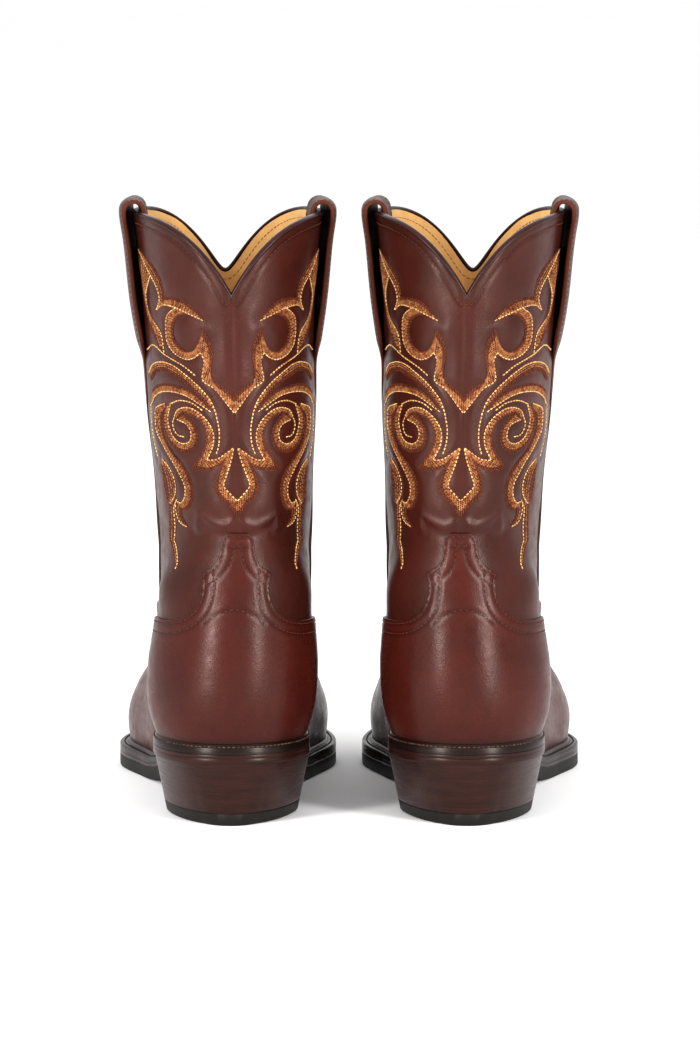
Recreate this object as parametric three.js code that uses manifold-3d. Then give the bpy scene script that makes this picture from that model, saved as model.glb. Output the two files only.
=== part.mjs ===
// A pair of leather western boots, each built up the way a bootmaker lasts one:
// linings, stiffeners, shaft panels, vamp and counter over an insole, with a welt,
// shank, filler, midsole, outsole and a stacked heel below.
// Millimetres, +Z up, toes along +Y. The right boot is modelled with +X to its
// outer side, and the left boot is its mirror image.

import * as THREE from 'three';
import { mergeVertices } from 'three/addons/utils/BufferGeometryUtils.js';
import Module from 'manifold-3d';

// ---------------------------------------------------------------- driving sizes

const SOLE_LENGTH = 300;         // heel to toe, over the welt
const SHAFT_RISE = 258;          // heel seat to the top line at the side seams
const HEEL_SEAT = 40;            // height of the heel seat above the floor
const TOE_SPRING = 4.7;          // lift of the toe above the ball
const BALL_WIDTH = 97;           // feather line, across the ball
const PAIR_SPARE = 9.9;          // from half that width out to the plane between the boots
const HEEL_WIDTH = 66;           // feather line, across the heel
const SHAFT_WIDTH = 94.8;        // across the top of the shaft
const SHAFT_DEPTH = 141;         // front to back of the top of the shaft
const THROAT_WIDTH = 77;         // across the ankle
const THROAT_DEPTH = 123;        // front to back of the ankle

const LEATHER = 1.6;             // vamp, counter and shaft panels
const LINING = 0.95;
const LAYER_GAP = 0.45;          // between curved layers
const OVERLAY_GAP = 0.9;         // under the vamp and the counter
const FLAT_GAP = 0.3;            // between flat layers
const SEAT_GAP = 0.6;            // from the feather line down to the insole

const INSOLE = 2.8;
const SOCK = 1.5;
const FILLER = 1.2;              // cork in the forepart, steel shank in the waist
const MIDSOLE = 2.0;
const OUTSOLE_BALL = 5.0;
const OUTSOLE_HEEL = 3.0;
const WELT_FORE = 8;             // how far the sole stands out from the feather line
const WELT_WAIST = 5;
const WELT_HEEL = 4.5;
const WELT_LIP = 1.4;            // raised inner lip of the storm welt

const HEEL_BREAST = 62;          // front face of the heel, from the back of the sole
const HEEL_CAP = 6;
const HEEL_LIFTS = 4;
const HEEL_TAPER = 4;            // narrowing of each side of the heel, top to bottom
const HEEL_RAKE = 4;             // how far the back of the heel slopes forward

const STRAP_WIDTH = 36;
const STRAP_TAIL_WIDTH = 18;
const STRAP_THICK = 2.2;
const STRAP_STAND = 5.6;         // outer leg's middle, off the shaft, at the top
const STRAP_LOOP = 6.5;          // top of the loop's middle, above the top line
const PIPING_WIDTH = 1.2;
const BEAD_HEIGHT = 1.4;

const NAIL_RADIUS = 1.1;
const NAIL_HEAD = 2.2;
const NAIL_CLEAR = 0.35;
const TAB_RISE = 105;            // top of the counter's tab above the heel seat
const TONGUE_RISE = 114;         // top of the vamp's tongue above the heel seat
const BACK_NOTCH = 37.5;         // depth of the V in the top line, behind
const FRONT_NOTCH = 41.5;        // and in front
const SHAFT_SHIFT_BACK = -1;     // the shaft points outward a little, as the boots stand:
const SHAFT_SHIFT_FRONT = 4.6;   // its centre line's place at the back and at the front

// ---------------------------------------------------------------- small helpers

const DEG = Math.PI / 180;
const mix = (a, b, t) => a + (b - a) * t;
const clamp01 = (t) => Math.min(1, Math.max(0, t));
const smooth = (a, b, t) => {
  const k = clamp01((t - a) / (b - a));
  return k * k * (3 - 2 * k);
};

// A smooth curve through (xs, ys), straight beyond its ends.
function through(xs, ys, x) {
  const last = xs.length - 1;
  const chord = (i) => (ys[i + 1] - ys[i]) / (xs[i + 1] - xs[i]);
  const slope = (i) => {
    if (i === 0) return chord(0);
    if (i === last) return chord(last - 1);
    const before = xs[i] - xs[i - 1];
    const after = xs[i + 1] - xs[i];
    return (chord(i) * before + chord(i - 1) * after) / (before + after);
  };
  if (x <= xs[0]) return ys[0] + slope(0) * (x - xs[0]);
  if (x >= xs[last]) return ys[last] + slope(last) * (x - xs[last]);
  let i = 0;
  while (x > xs[i + 1]) i += 1;
  const h = xs[i + 1] - xs[i];
  const t = (x - xs[i]) / h;
  const t2 = t * t;
  const t3 = t2 * t;
  return (2 * t3 - 3 * t2 + 1) * ys[i] + (t3 - 2 * t2 + t) * h * slope(i)
    + (3 * t2 - 2 * t3) * ys[i + 1] + (t3 - t2) * h * slope(i + 1);
}

// ---------------------------------------------------------------- the last

// The sole's layers, from the feather line down to the floor at the ball.
const WELT_TOP = 0.4;
const WELT_THICK = SEAT_GAP + INSOLE + FLAT_GAP + FILLER - WELT_TOP;
const MIDSOLE_TOP = WELT_TOP + WELT_THICK + FLAT_GAP;
const OUTSOLE_TOP = MIDSOLE_TOP + MIDSOLE + FLAT_GAP;
const BALL_SEAT = OUTSOLE_TOP + OUTSOLE_BALL;

const HEEL_BACK = WELT_HEEL;                    // feather line, back of the heel
const TOE_TIP = SOLE_LENGTH - WELT_FORE;        // feather line, tip of the toe
const FOOT_LENGTH = TOE_TIP - HEEL_BACK;
const PAIR_HALF = BALL_WIDTH / 2 + PAIR_SPARE;  // mirror plane to each heel's centre line
const SEAM_Y = HEEL_BACK + THROAT_DEPTH / 2;    // the side seams stand here
const SHANK_START = HEEL_BREAST;                // the seat is flat up to here
// The tread is flat between two angles of the feather line, under the ball.
const TREAD_ANGLES = [122.5, 132.5];
const footY = (angle) => TOE_TIP - (TOE_TIP - SEAM_Y) * (1 + Math.cos(angle * DEG));
const TREAD_MARGIN = 5;
const BALL_START = footY(TREAD_ANGLES[0]) - TREAD_MARGIN;
const BALL_END = footY(TREAD_ANGLES[1]) + TREAD_MARGIN;

// Height of the feather line along the boot.
function seat(y) {
  const fall = clamp01((y - SHANK_START) / (BALL_START - SHANK_START));
  const spring = Math.max(0, y - BALL_END) / (TOE_TIP - BALL_END);
  return mix(BALL_SEAT, HEEL_SEAT, (1 + Math.cos(Math.PI * fall)) / 2)
    + TOE_SPRING * spring * spring;
}

// Rings of the last. Each is a closed loop round the boot, named by its height
// above the heel seat at the back. back and front are where it crosses the centre
// line. wide holds the half width that the loop would have as an ellipse, and lift
// the height above the seat, both at the stations of AT from the back to the front.
const AT = [0, 0.1, 0.25, 0.4, 0.55, 0.7, 0.85, 1];
const THROAT_FRONT = HEEL_BACK + THROAT_DEPTH;
const along = (share) => mix(THROAT_FRONT, TOE_TIP, share);
const ball = BALL_WIDTH / 97;
const heel = HEEL_WIDTH / 66;
const ankle = THROAT_WIDTH / 2;
const top = SHAFT_WIDTH / 2;
const BACK_LEAN = -6.5;          // back of the top line, behind the heel's back

const RINGS = [
  { level: 0, back: HEEL_BACK, front: TOE_TIP,
    wide: [66 * heel, 55 * heel, 35.2 * heel, 29, 38.4, 52.9 * ball, 55.5 * ball, 49 * ball],
    lift: [0, 0, 0, 0, 0, 0, 0, 0] },
  { level: 12, back: HEEL_BACK - 3, front: TOE_TIP + 3,
    wide: [69 * heel, 60.5 * heel, 39.8 * heel, 32, 40.5, 54.3 * ball, 57.5 * ball, 49.5 * ball],
    lift: [12, 12, 12, 12, 12, 12, 12, 12.5] },
  { level: 35, back: HEEL_BACK - 4.5, front: along(0.957),
    wide: [68 * heel, 63.3 * heel, 44.5 * heel, 35.6, 40.5, 51 * ball, 53.5 * ball, 46 * ball],
    lift: [35, 35, 34.5, 33, 31.5, 29.5, 28, 28.5] },
  { level: 60, back: HEEL_BACK - 3, front: along(0.79),
    wide: [61 * heel, 59 * heel, 44.2 * heel, 38.4, 38.6, 42.5 * ball, 44 * ball, 39 * ball],
    lift: [60, 60, 58.5, 55.5, 52.5, 50, 46.5, 44] },
  { level: 78, back: HEEL_BACK, front: along(0.515),
    wide: [54 * heel, 54.5 * heel, 43.3 * heel, 39.3, 38, 38.8, 38.4, 36.5],
    lift: [78, 78, 77.5, 75.5, 73, 70, 66.5, 62.5] },
  { level: 88, back: HEEL_BACK + 1.5, front: along(0.285),
    wide: [47, 46.5, 41.5, 38.8, 37.8, 37.7, 37.8, 37],
    lift: [88, 88, 87.5, 86.5, 86.5, 87, 88, 89] },
];
// Level rings of the shaft: level, back, front and half width.
const SHAFT_RINGS = [
  [98, HEEL_BACK + 2, along(0.095), mix(ankle, top, -0.03)],
  [125, HEEL_BACK + 0.5, THROAT_FRONT, ankle],
  [160, HEEL_BACK - 2, THROAT_FRONT + 1, mix(ankle, top, 0.19)],
  [205, HEEL_BACK - 6, HEEL_BACK - 6 + mix(THROAT_DEPTH, SHAFT_DEPTH, 0.6), mix(ankle, top, 0.41)],
  [235, HEEL_BACK - 8.5, HEEL_BACK - 8.5 + mix(THROAT_DEPTH, SHAFT_DEPTH, 0.86), mix(ankle, top, 0.68)],
  [260, HEEL_BACK - 4.5 + BACK_LEAN, HEEL_BACK - 4.5 + BACK_LEAN + SHAFT_DEPTH, top],
];
const THROAT_LEVEL = 98;         // the rings above it stretch with the shaft's rise
const SHAFT_STRETCH = (SHAFT_RISE - THROAT_LEVEL) / (258 - THROAT_LEVEL);
const shaftLevel = (level) => THROAT_LEVEL + (level - THROAT_LEVEL) * SHAFT_STRETCH;
for (const [level, back, front, half] of SHAFT_RINGS) {
  RINGS.push({ level: shaftLevel(level), back, front, wide: AT.map(() => half), lift: null });
}
const LEVELS = RINGS.map((ring) => ring.level);
const AXIS_SHIFT = [0, 0, 0.5, 2, 4, 5, 3, 0];   // the ball bulges to the outer side

// The point of one ring at the share s of its length, on the side +1 or -1.
function ringPoint(ring, s, side) {
  const share = clamp01(s);
  const y = mix(ring.back, ring.front, share);
  const half = 2 * Math.sqrt(share * (1 - share)) * through(AT, ring.wide, share);
  const fade = 1 - smooth(35, THROAT_LEVEL, ring.level);
  const shift = through(AT, AXIS_SHIFT, share) * fade
    + mix(SHAFT_SHIFT_BACK, SHAFT_SHIFT_FRONT, share) * (1 - fade);
  const z = ring.lift ? seat(y) + through(AT, ring.lift, share) : HEEL_SEAT + ring.level;
  return [shift + side * half, y, z];
}

// The outer face of the shaft panels, at share s of the ring at a level.
function face(s, side, level) {
  const points = RINGS.map((ring) => ringPoint(ring, s, side));
  return new THREE.Vector3(...[0, 1, 2].map((k) => through(LEVELS, points.map((p) => p[k]), level)));
}

// Back and front of the ring at a level, along the boot.
const ringBack = (level) => through(LEVELS, RINGS.map((ring) => ring.back), level);
const ringFront = (level) => through(LEVELS, RINGS.map((ring) => ring.front), level);

// Angles go round the boot from 0 at the back through 90 at the side seam to 180 at
// the front. They are negative on the inner side.
function shareOf(angle, level) {
  const back = ringBack(level);
  const seam = (SEAM_Y - back) / (ringFront(level) - back);
  const c = Math.cos(Math.abs(angle) * DEG);
  return Math.abs(angle) <= 90 ? seam * (1 - c) : 1 - (1 - seam) * (1 + c);
}

// The angle at a distance along the boot from the side seam, on the shaft.
function angleAt(distance, level) {
  const back = ringBack(level);
  const behind = SEAM_Y - back;
  const ahead = ringFront(level) - SEAM_Y;
  const c = distance < 0 ? -distance / behind : -distance / ahead;
  return Math.acos(c) / DEG;
}

const sideOf = (angle) => (angle < 0 ? -1 : 1);
const spot = (angle, level) => face(shareOf(angle, level), sideOf(angle), level);

// A point of the boot, off the panels' outer face by depth, outward.
function surface(angle, level, depth) {
  const at = spot(angle, level);
  if (depth === 0) return at;
  const step = 0.4;
  const side = sideOf(angle);
  // The step stays on one side of the centre line, where the angle's sign changes.
  const inward = Math.min(179.5, Math.max(0.5, Math.abs(angle)));
  const round = spot(side * (inward + step), level).sub(spot(side * (inward - step), level));
  const up = spot(angle, level + step).sub(spot(angle, level - step));
  const out = round.cross(up).multiplyScalar(side).normalize();
  if (Math.abs(angle) < 0.5 || Math.abs(angle) > 179.5) out.setX(0).normalize();
  return at.addScaledVector(out, depth);
}

// ---------------------------------------------------------------- making meshes

function closedGeometry(points, quads) {
  const index = [];
  for (const [a, b, c, d] of quads) index.push(a, b, c, a, c, d);
  let volume = 0;
  for (let i = 0; i < index.length; i += 3) {
    const [p, q, r] = [points[index[i]], points[index[i + 1]], points[index[i + 2]]];
    volume += p.dot(new THREE.Vector3().crossVectors(q, r));
  }
  if (volume < 0) index.reverse();
  const geometry = new THREE.BufferGeometry();
  geometry.setAttribute('position', new THREE.Float32BufferAttribute(points.flatMap((p) => p.toArray()), 3));
  geometry.setIndex(index);
  return geometry;
}

// A thick sheet: point(i, j, face) for a grid, face 0 outside and 1 inside.
function sheet(columns, rows, point) {
  const points = [];
  for (const side of [0, 1]) {
    for (let i = 0; i <= columns; i += 1) {
      for (let j = 0; j <= rows; j += 1) points.push(point(i, j, side));
    }
  }
  const inner = (columns + 1) * (rows + 1);
  const id = (i, j) => i * (rows + 1) + j;
  const quads = [];
  for (let i = 0; i < columns; i += 1) {
    for (let j = 0; j < rows; j += 1) {
      const [a, b, c, d] = [id(i, j), id(i + 1, j), id(i + 1, j + 1), id(i, j + 1)];
      // Both faces are split along the same diagonal, so that nested sheets stay parallel.
      quads.push([a, b, c, d], [c + inner, b + inner, a + inner, d + inner]);
    }
    for (const [a, b] of [[id(i, 0), id(i + 1, 0)], [id(i + 1, rows), id(i, rows)]]) {
      quads.push([b, a, a + inner, b + inner]);
    }
  }
  for (let j = 0; j < rows; j += 1) {
    for (const [a, b] of [[id(0, j + 1), id(0, j)], [id(columns, j), id(columns, j + 1)]]) {
      quads.push([b, a, a + inner, b + inner]);
    }
  }
  return closedGeometry(points, quads);
}

// A skin through sections that have the same number of points each. It is capped
// at both ends, or joined end to end when ring is true.
function loft(sections, ring = false) {
  const count = sections[0].length;
  const quads = [];
  const steps = ring ? sections.length : sections.length - 1;
  for (let i = 0; i < steps; i += 1) {
    const next = ((i + 1) % sections.length) * count;
    for (let j = 0; j < count; j += 1) {
      const k = (j + 1) % count;
      quads.push([i * count + j, i * count + k, next + k, next + j]);
    }
  }
  const geometry = closedGeometry(sections.flat(), quads);
  if (ring) return geometry;
  return closedGeometry(sections.flat(), [
    ...quads,
    [3, 2, 1, 0],
    [0, 1, 2, 3].map((j) => (sections.length - 1) * count + j),
  ]);
}

// A panel of the upper: levelsAt gives its rows from the lower edge to the upper one.
function panel(angles, levelsAt, outer, thick) {
  const rows = angles.map(levelsAt);
  return sheet(angles.length - 1, rows[0].length - 1, (i, j, side) => (
    surface(angles[i], rows[i][j], side === 0 ? outer : outer - thick)));
}

// Levels from low to high in equal steps, low itself left out.
const steps = (low, high, count) => Array.from({ length: count }, (_, k) => mix(low, high, (k + 1) / count));

// Angles of a panel that is the same on both sides of the boot.
const bothSides = (angles) => [...angles.map((a) => -a).reverse(), ...angles.filter((a) => a !== 0)];
// Angles of a panel across the front, from the outer seam round to the inner one.
const acrossFront = (angles) => [...angles, 180, ...angles.map((a) => -a).reverse()];

// ---------------------------------------------------------------- the upper's lines

// Top line of the shaft: a V behind and in front, and a flat peak at each side.
function topLine(angle) {
  const notch = Math.abs(angle) < 90 ? BACK_NOTCH : FRONT_NOTCH;
  return SHAFT_RISE - notch * (1 - Math.sin(Math.abs(angle) * DEG)) ** 2.1;
}

const YOKE = 58;                 // counter and vamp, at the side seams
const YOKE_MIDDLE = TAB_RISE - 32;   // where the counter's side curves would meet behind
const PANEL_FOOT = 50;           // lower edge of the shaft panels behind
const SEAM_HALF = 0.4;           // angle from a side seam to a panel's edge
const TAB_HALF = 10;             // angle from the centre line to the tab's side
const TAB_FLARE = 22;            // and to the corner where its foot meets the side curve

// Top edge of the counter: a low curve with a stepped tab up the back.
function counterTop(angle) {
  const a = Math.abs(angle);
  if (a <= TAB_HALF) return TAB_RISE;
  if (a <= TAB_FLARE) {
    return through([TAB_HALF, 11.5, 16, TAB_FLARE], [TAB_RISE, TAB_RISE - 12, TAB_RISE - 17, TAB_RISE - 21], a);
  }
  const corner = Math.max(0, TAB_FLARE + 2 - a) * 5;
  return mix(YOKE, YOKE_MIDDLE, 1 - smooth(TAB_FLARE - 6, 70, a)) + corner;
}

// Top edge of the vamp: it climbs the instep to a tongue.
function vampTop(angle) {
  const a = Math.abs(angle);
  if (a > 149.5) {
    return through([151, 158, 167, 180], [TONGUE_RISE - 16, TONGUE_RISE - 13, TONGUE_RISE - 5, TONGUE_RISE], a);
  }
  return through([90, 103, 124, 138, 149], [YOKE, YOKE + 15, YOKE + 27, YOKE + 31, YOKE + 33], a);
}

// Lower edge of the front shaft panel and of the front shaft lining.
const frontFoot = (angle) => through([90, 103, 124, 140, 180], [50, 64, 77, 81, 84], Math.abs(angle));

// Front edge of the counter, where the vamp begins: the side seam, run forward.
const EDGE_SWEEP = 9;            // angle that it runs forward, down to the feather line
const counterEdge = (level) => 90 + EDGE_SWEEP * (1 - Math.min(1, level / YOKE));

// ---------------------------------------------------------------- upper pieces

// Layers that lie on each other share their angles and their rows, so that their
// faces stay parallel. The outer ones may have more angles.
const BACK_ANGLES = [0, 10, 20, 31, 43, 56, 72];
const TAB_ANGLES = [11.5, 16, 22, 23.5];
const FRONT_ANGLES = [99, 108, 115.5, ...TREAD_ANGLES, 141, 149, 158, 167];
const TONGUE_ANGLE = 151;
const sorted = (angles) => [...angles].sort((a, b) => a - b);

const SEAT_ROWS = [FLAT_GAP, 11, 22, 33, PANEL_FOOT - 6];
// The rows crowd together at the yoke line, where the shaft bends into the foot.
const ROW_SHARES = [0, 0.06, 0.13, 0.24, 0.46, 0.72, 1];
const shaftRows = (foot, yoke, edge) => [
  foot, mix(foot, yoke, 0.5), ...ROW_SHARES.map((share) => mix(yoke, edge, share)),
];
const backRows = (angle) => shaftRows(PANEL_FOOT, counterTop(angle), topLine(angle));
const frontRows = (angle) => shaftRows(frontFoot(angle), vampTop(angle), topLine(angle));
const VAMP_STEPS = 5;
const LINING_STEP = 1.2;         // between the vamp lining and the shaft lining, in level
const vampRows = (angle) => [FLAT_GAP, ...steps(FLAT_GAP, frontFoot(angle) - LINING_STEP, VAMP_STEPS)];

const backAngles = bothSides([...BACK_ANGLES, 90 - SEAM_HALF]);
const frontAngles = acrossFront([90 + SEAM_HALF, ...FRONT_ANGLES]);
const LINING_FACE = -LEATHER - LAYER_GAP;

const backShaftPanel = () => panel(backAngles, backRows, 0, LEATHER);
const frontShaftPanel = () => panel(frontAngles, frontRows, 0, LEATHER);
const backLining = () => panel(backAngles, (a) => [...SEAT_ROWS, ...backRows(a)], LINING_FACE, LINING);
const frontLining = () => panel(frontAngles, frontRows, LINING_FACE, LINING);
const vampLining = () => panel(frontAngles, vampRows, LINING_FACE, LINING);

const OVERLAY_FACE = LEATHER + OVERLAY_GAP;

// The counter wraps the heel. Its front edge follows counterEdge.
function counter() {
  const fixed = sorted([...BACK_ANGLES, ...TAB_ANGLES]);
  const last = fixed[fixed.length - 1];
  const columns = bothSides([...fixed, 90, 90 + EDGE_SWEEP]);
  const rowsAt = (angle) => [...SEAT_ROWS, ...shaftRows(PANEL_FOOT, counterTop(angle), 0).slice(0, 3)];
  return sheet(columns.length - 1, rowsAt(0).length - 1, (i, j, side) => {
    const column = Math.abs(columns[i]);
    const level = rowsAt(columns[i])[j];
    const swept = mix(last, counterEdge(level), (column - last) / (90 + EDGE_SWEEP - last));
    const angle = sideOf(columns[i]) * (column > last ? swept : column);
    return surface(angle, level, side === 0 ? OVERLAY_FACE : OVERLAY_GAP);
  });
}

// The vamp covers the foot, from one side seam over the instep to the other. Its
// first two columns fan out from the seam, which runs forward as it goes down.
function vamp() {
  const first = 90 + EDGE_SWEEP;
  const fanned = first + 4;
  const next = FRONT_ANGLES[1];
  const columns = acrossFront(sorted([...FRONT_ANGLES, fanned, TONGUE_ANGLE]));
  const rowsAt = (angle) => [...vampRows(angle), ...shaftRows(frontFoot(angle), vampTop(angle), 0).slice(1, 3)];
  const gapAt = (edge) => mix(SEAM_HALF, SEAM_HALF / 2, (edge - 90) / EDGE_SWEEP);
  const sweep = (column, level) => {
    const edge = counterEdge(level) + gapAt(counterEdge(level));
    if (column === first) return edge;
    return column === fanned ? mix(edge, next, 0.5) : column;
  };
  return sheet(columns.length - 1, rowsAt(180).length - 1, (i, j, side) => {
    const column = Math.abs(columns[i]);
    const level = rowsAt(column === first ? 90 : column === fanned ? first : column)[j];
    const angle = sideOf(columns[i]) * sweep(column, level);
    return surface(angle, level, side === 0 ? OVERLAY_FACE : OVERLAY_GAP);
  });
}

const counterStiffener = () => panel(bothSides(BACK_ANGLES), () => SEAT_ROWS, 0, LEATHER);
const toeBox = () => panel(
  acrossFront(FRONT_ANGLES.filter((angle) => angle >= TREAD_ANGLES[1])),
  (angle) => vampRows(angle).slice(0, VAMP_STEPS - 1), 0, LEATHER,
);

const BEAD_SEAT = 0.375;         // gap under the beading, as a share of the leather below it
const BEAD_PROUD = 0.2;          // how far it stands out from the panel

// A rolled strip over the top edge of one half of the shaft.
function beading(angles) {
  const foot = BEAD_SEAT * LEATHER;
  return panel(angles, (a) => [topLine(a) + foot, topLine(a) + foot + BEAD_HEIGHT],
    BEAD_PROUD, LEATHER + LAYER_GAP + LINING + BEAD_PROUD);
}

// The strap's path over the top: each stop is a depth off the shaft and a level.
function strapPath() {
  const inner = LINING_FACE - LINING - LAYER_GAP - STRAP_THICK / 2;
  const radius = (STRAP_STAND - inner) / 2;
  const middle = (STRAP_STAND + inner) / 2;
  const turn = SHAFT_RISE + STRAP_LOOP - radius;
  const tail = SHAFT_RISE - 96;
  const low = LAYER_GAP + STRAP_THICK / 2;
  const stops = [[low, tail], [low + 0.5, tail + 14], [low + 1.3, tail + 26], [low + 2.4, tail + 32],
    [mix(low, STRAP_STAND, 0.8), tail + 52], [STRAP_STAND - 0.3, turn - 14]];
  for (let k = 0; k <= 8; k += 1) {
    const a = Math.PI * k / 8;
    stops.push([middle + radius * Math.cos(a), turn + radius * Math.sin(a)]);
  }
  stops.push([inner, turn - 22], [inner, turn - 48]);
  return stops;
}

// A pull strap: a wide band that is stitched outside, loops over the top and goes in.
function pullStrap(side) {
  const path = strapPath();
  const across = 2;
  return sheet(path.length - 1, across, (i, j, inner) => {
    const [before, at, after] = [path[Math.max(0, i - 1)], path[i], path[Math.min(path.length - 1, i + 1)]];
    const run = [after[0] - before[0], after[1] - before[1]];
    const length = Math.hypot(...run);
    const half = (inner === 0 ? 0.5 : -0.5) * STRAP_THICK;
    const depth = at[0] + half * run[1] / length;
    const level = at[1] - half * run[0] / length;
    const width = i < 3 ? STRAP_TAIL_WIDTH : STRAP_WIDTH;
    return surface(side * angleAt((j / across - 0.5) * width, Math.min(level, SHAFT_RISE)), level, depth);
  });
}

// Piping in a side seam, from the yoke up to the strap's tail.
function piping(side) {
  const [low, high, rows] = [YOKE + 2.5, SHAFT_RISE - 98, 8];
  return sheet(1, rows, (i, j, inner) => {
    const level = mix(low, high, j / rows);
    const angle = angleAt((i - 0.5) * PIPING_WIDTH / 4, level);
    return surface(side * angle, level, inner === 0 ? 0.6 : -LEATHER + 0.2);
  });
}

// ---------------------------------------------------------------- sole pieces

// How far the sole stands out from the feather line, along the boot.
function standOut(y) {
  return mix(mix(WELT_HEEL, WELT_WAIST, smooth(0.15, 0.3, y / SOLE_LENGTH)), WELT_FORE,
    smooth(0.4, 0.66, y / SOLE_LENGTH));
}

// The feather line, moved out by a distance, as a point at the seat's height.
function featherPoint(angle, out) {
  const at = spot(angle, 0);
  const side = sideOf(angle);
  const a = Math.min(179.4, Math.max(0.6, Math.abs(angle)));
  const run = spot(side * (a + 0.4), 0).sub(spot(side * (a - 0.4), 0));
  const normal = new THREE.Vector3(run.y, -run.x, 0).multiplyScalar(side).normalize();
  if (Math.abs(angle) < 0.6) normal.set(0, -1, 0);
  if (Math.abs(angle) > 179.4) normal.set(0, 1, 0);
  const by = typeof out === 'function' ? out(at.y) : out;
  return at.addScaledVector(normal, by);
}

const SOLE_ANGLES = [3, ...BACK_ANGLES.slice(1), 90, ...FRONT_ANGLES, 176];

// A layer of the sole, between two depths below the seat.
function soleLayer(angles, out, high, low) {
  const deep = (value, y) => (typeof value === 'function' ? value(y) : value);
  return loft(angles.map((angle) => {
    const left = featherPoint(-angle, out);
    const right = featherPoint(angle, out);
    const y = (left.y + right.y) / 2;
    const corner = (p, depth) => new THREE.Vector3(p.x, y, seat(y) - deep(depth, y));
    return [corner(left, high), corner(right, high), corner(right, low), corner(left, low)];
  }));
}

// The sole's angles whose places on the feather line lie between two distances.
const between = (from, to) => SOLE_ANGLES.filter((angle) => {
  const y = spot(angle, 0).y;
  return y > from && y < to;
});

const insoleSheet = () => soleLayer(SOLE_ANGLES, 1.2, SEAT_GAP, SEAT_GAP + INSOLE);
const sockLiner = () => soleLayer(SOLE_ANGLES, LINING_FACE - LINING - 2 * LAYER_GAP, -SOCK, 0);
const FILLER_TOP = SEAT_GAP + INSOLE + FLAT_GAP;
const corkFiller = () => soleLayer(between(BALL_START - 20, TOE_TIP - 6), -2, FILLER_TOP, FILLER_TOP + FILLER);
const midsoleSheet = () => soleLayer(SOLE_ANGLES, standOut, MIDSOLE_TOP, MIDSOLE_TOP + MIDSOLE);

// The outsole is full thickness under the ball and thinner over the heel.
const outsoleThick = (y) => mix(OUTSOLE_HEEL, OUTSOLE_BALL, smooth(SHANK_START, BALL_START - 30, y));
const outsoleSheet = () => soleLayer(SOLE_ANGLES, standOut, OUTSOLE_TOP, (y) => OUTSOLE_TOP + outsoleThick(y));

// The steel shank bridges the waist, between the insole and the midsole.
function shank() {
  const half = 7;
  const places = [SHANK_START - 10, ...between(SHANK_START, BALL_START - 14).map((angle) => spot(angle, 0).y)];
  return loft(places.map((y) => {
    const x = through(AT, AXIS_SHIFT, (y - HEEL_BACK) / FOOT_LENGTH);
    const corner = (dx, depth) => new THREE.Vector3(x + dx, y, seat(y) - depth);
    return [corner(-half, FILLER_TOP), corner(half, FILLER_TOP),
      corner(half, FILLER_TOP + FILLER), corner(-half, FILLER_TOP + FILLER)];
  }));
}

// The storm welt runs all the way round, with a lip against the upper.
function welt() {
  const inside = OVERLAY_FACE + LAYER_GAP;
  const profile = (y) => {
    const edge = standOut(y);
    const lip = Math.min(1.6, (edge - inside) * 0.5);
    return [[inside, -WELT_TOP - WELT_THICK], [edge, -WELT_TOP - WELT_THICK], [edge, -WELT_TOP],
      [inside + lip, -WELT_TOP + 0.2], [inside + lip * 0.8, WELT_LIP], [inside + 0.3, WELT_LIP]];
  };
  const half = sorted([...BACK_ANGLES.slice(1), ...TAB_ANGLES, 90, ...FRONT_ANGLES]);
  const angles = [0, ...half, 180, ...half.map((a) => -a).reverse()];
  return loft(angles.map((angle) => {
    const y = spot(angle, 0).y;
    return profile(y).map(([out, rise]) => {
      const p = featherPoint(angle, out);
      return p.setZ(seat(p.y) + rise);
    });
  }), true);
}

// ---------------------------------------------------------------- heel pieces

const STACK_TOP = HEEL_SEAT - OUTSOLE_TOP - OUTSOLE_HEEL - FLAT_GAP;
const LIFT_PITCH = (STACK_TOP - HEEL_CAP) / HEEL_LIFTS;

const SOLE_START = featherPoint(SOLE_ANGLES[0], standOut).y;

// The angle at which the sole's outline reaches a distance along the boot.
function angleFor(y) {
  let [a, b] = [SOLE_ANGLES[0], 120];
  for (let k = 0; k < 30; k += 1) {
    const m = (a + b) / 2;
    if (featherPoint(m, standOut).y < y) a = m; else b = m;
  }
  return (a + b) / 2;
}

const BREAST_ANGLE = angleFor(HEEL_BREAST);
const BREAST_RAKE = 2;                           // how far the breast slopes under the boot
const HEEL_SHARES = [0, 0.08, 0.17, 0.27, 0.38, 0.5, 0.63, 0.77, 0.9, 1];

// A slice of the heel: its outline follows the sole's, drawn in towards the floor.
function heelSlice(low, high) {
  const outline = (z) => {
    const drop = 1 - z / STACK_TOP;
    const breast = HEEL_BREAST - BREAST_RAKE * drop;
    return HEEL_SHARES.map((share) => {
      const p = featherPoint(mix(SOLE_ANGLES[0], BREAST_ANGLE, share), standOut);
      const run = clamp01((p.y - SOLE_START) / (HEEL_BREAST - SOLE_START)) ** 1.5;
      const y = share === 1 ? breast : mix(p.y + HEEL_RAKE * drop, breast, run);
      return [Math.max(1.5, p.x - HEEL_TAPER * drop * clamp01(p.x / 20)), y];
    });
  };
  const [lower, upper] = [outline(low), outline(high)];
  return loft(HEEL_SHARES.map((_, i) => {
    const [xl, yl] = lower[i];
    const [xh, yh] = upper[i];
    return [new THREE.Vector3(-xh, yh, high), new THREE.Vector3(xh, yh, high),
      new THREE.Vector3(xl, yl, low), new THREE.Vector3(-xl, yl, low)];
  }));
}

const heelCap = () => heelSlice(0, HEEL_CAP - FLAT_GAP);
const heelLift = (k) => heelSlice(
  HEEL_CAP + k * LIFT_PITCH,
  HEEL_CAP + (k + 1) * LIFT_PITCH - (k < HEEL_LIFTS - 1 ? FLAT_GAP : 0),
);

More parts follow.
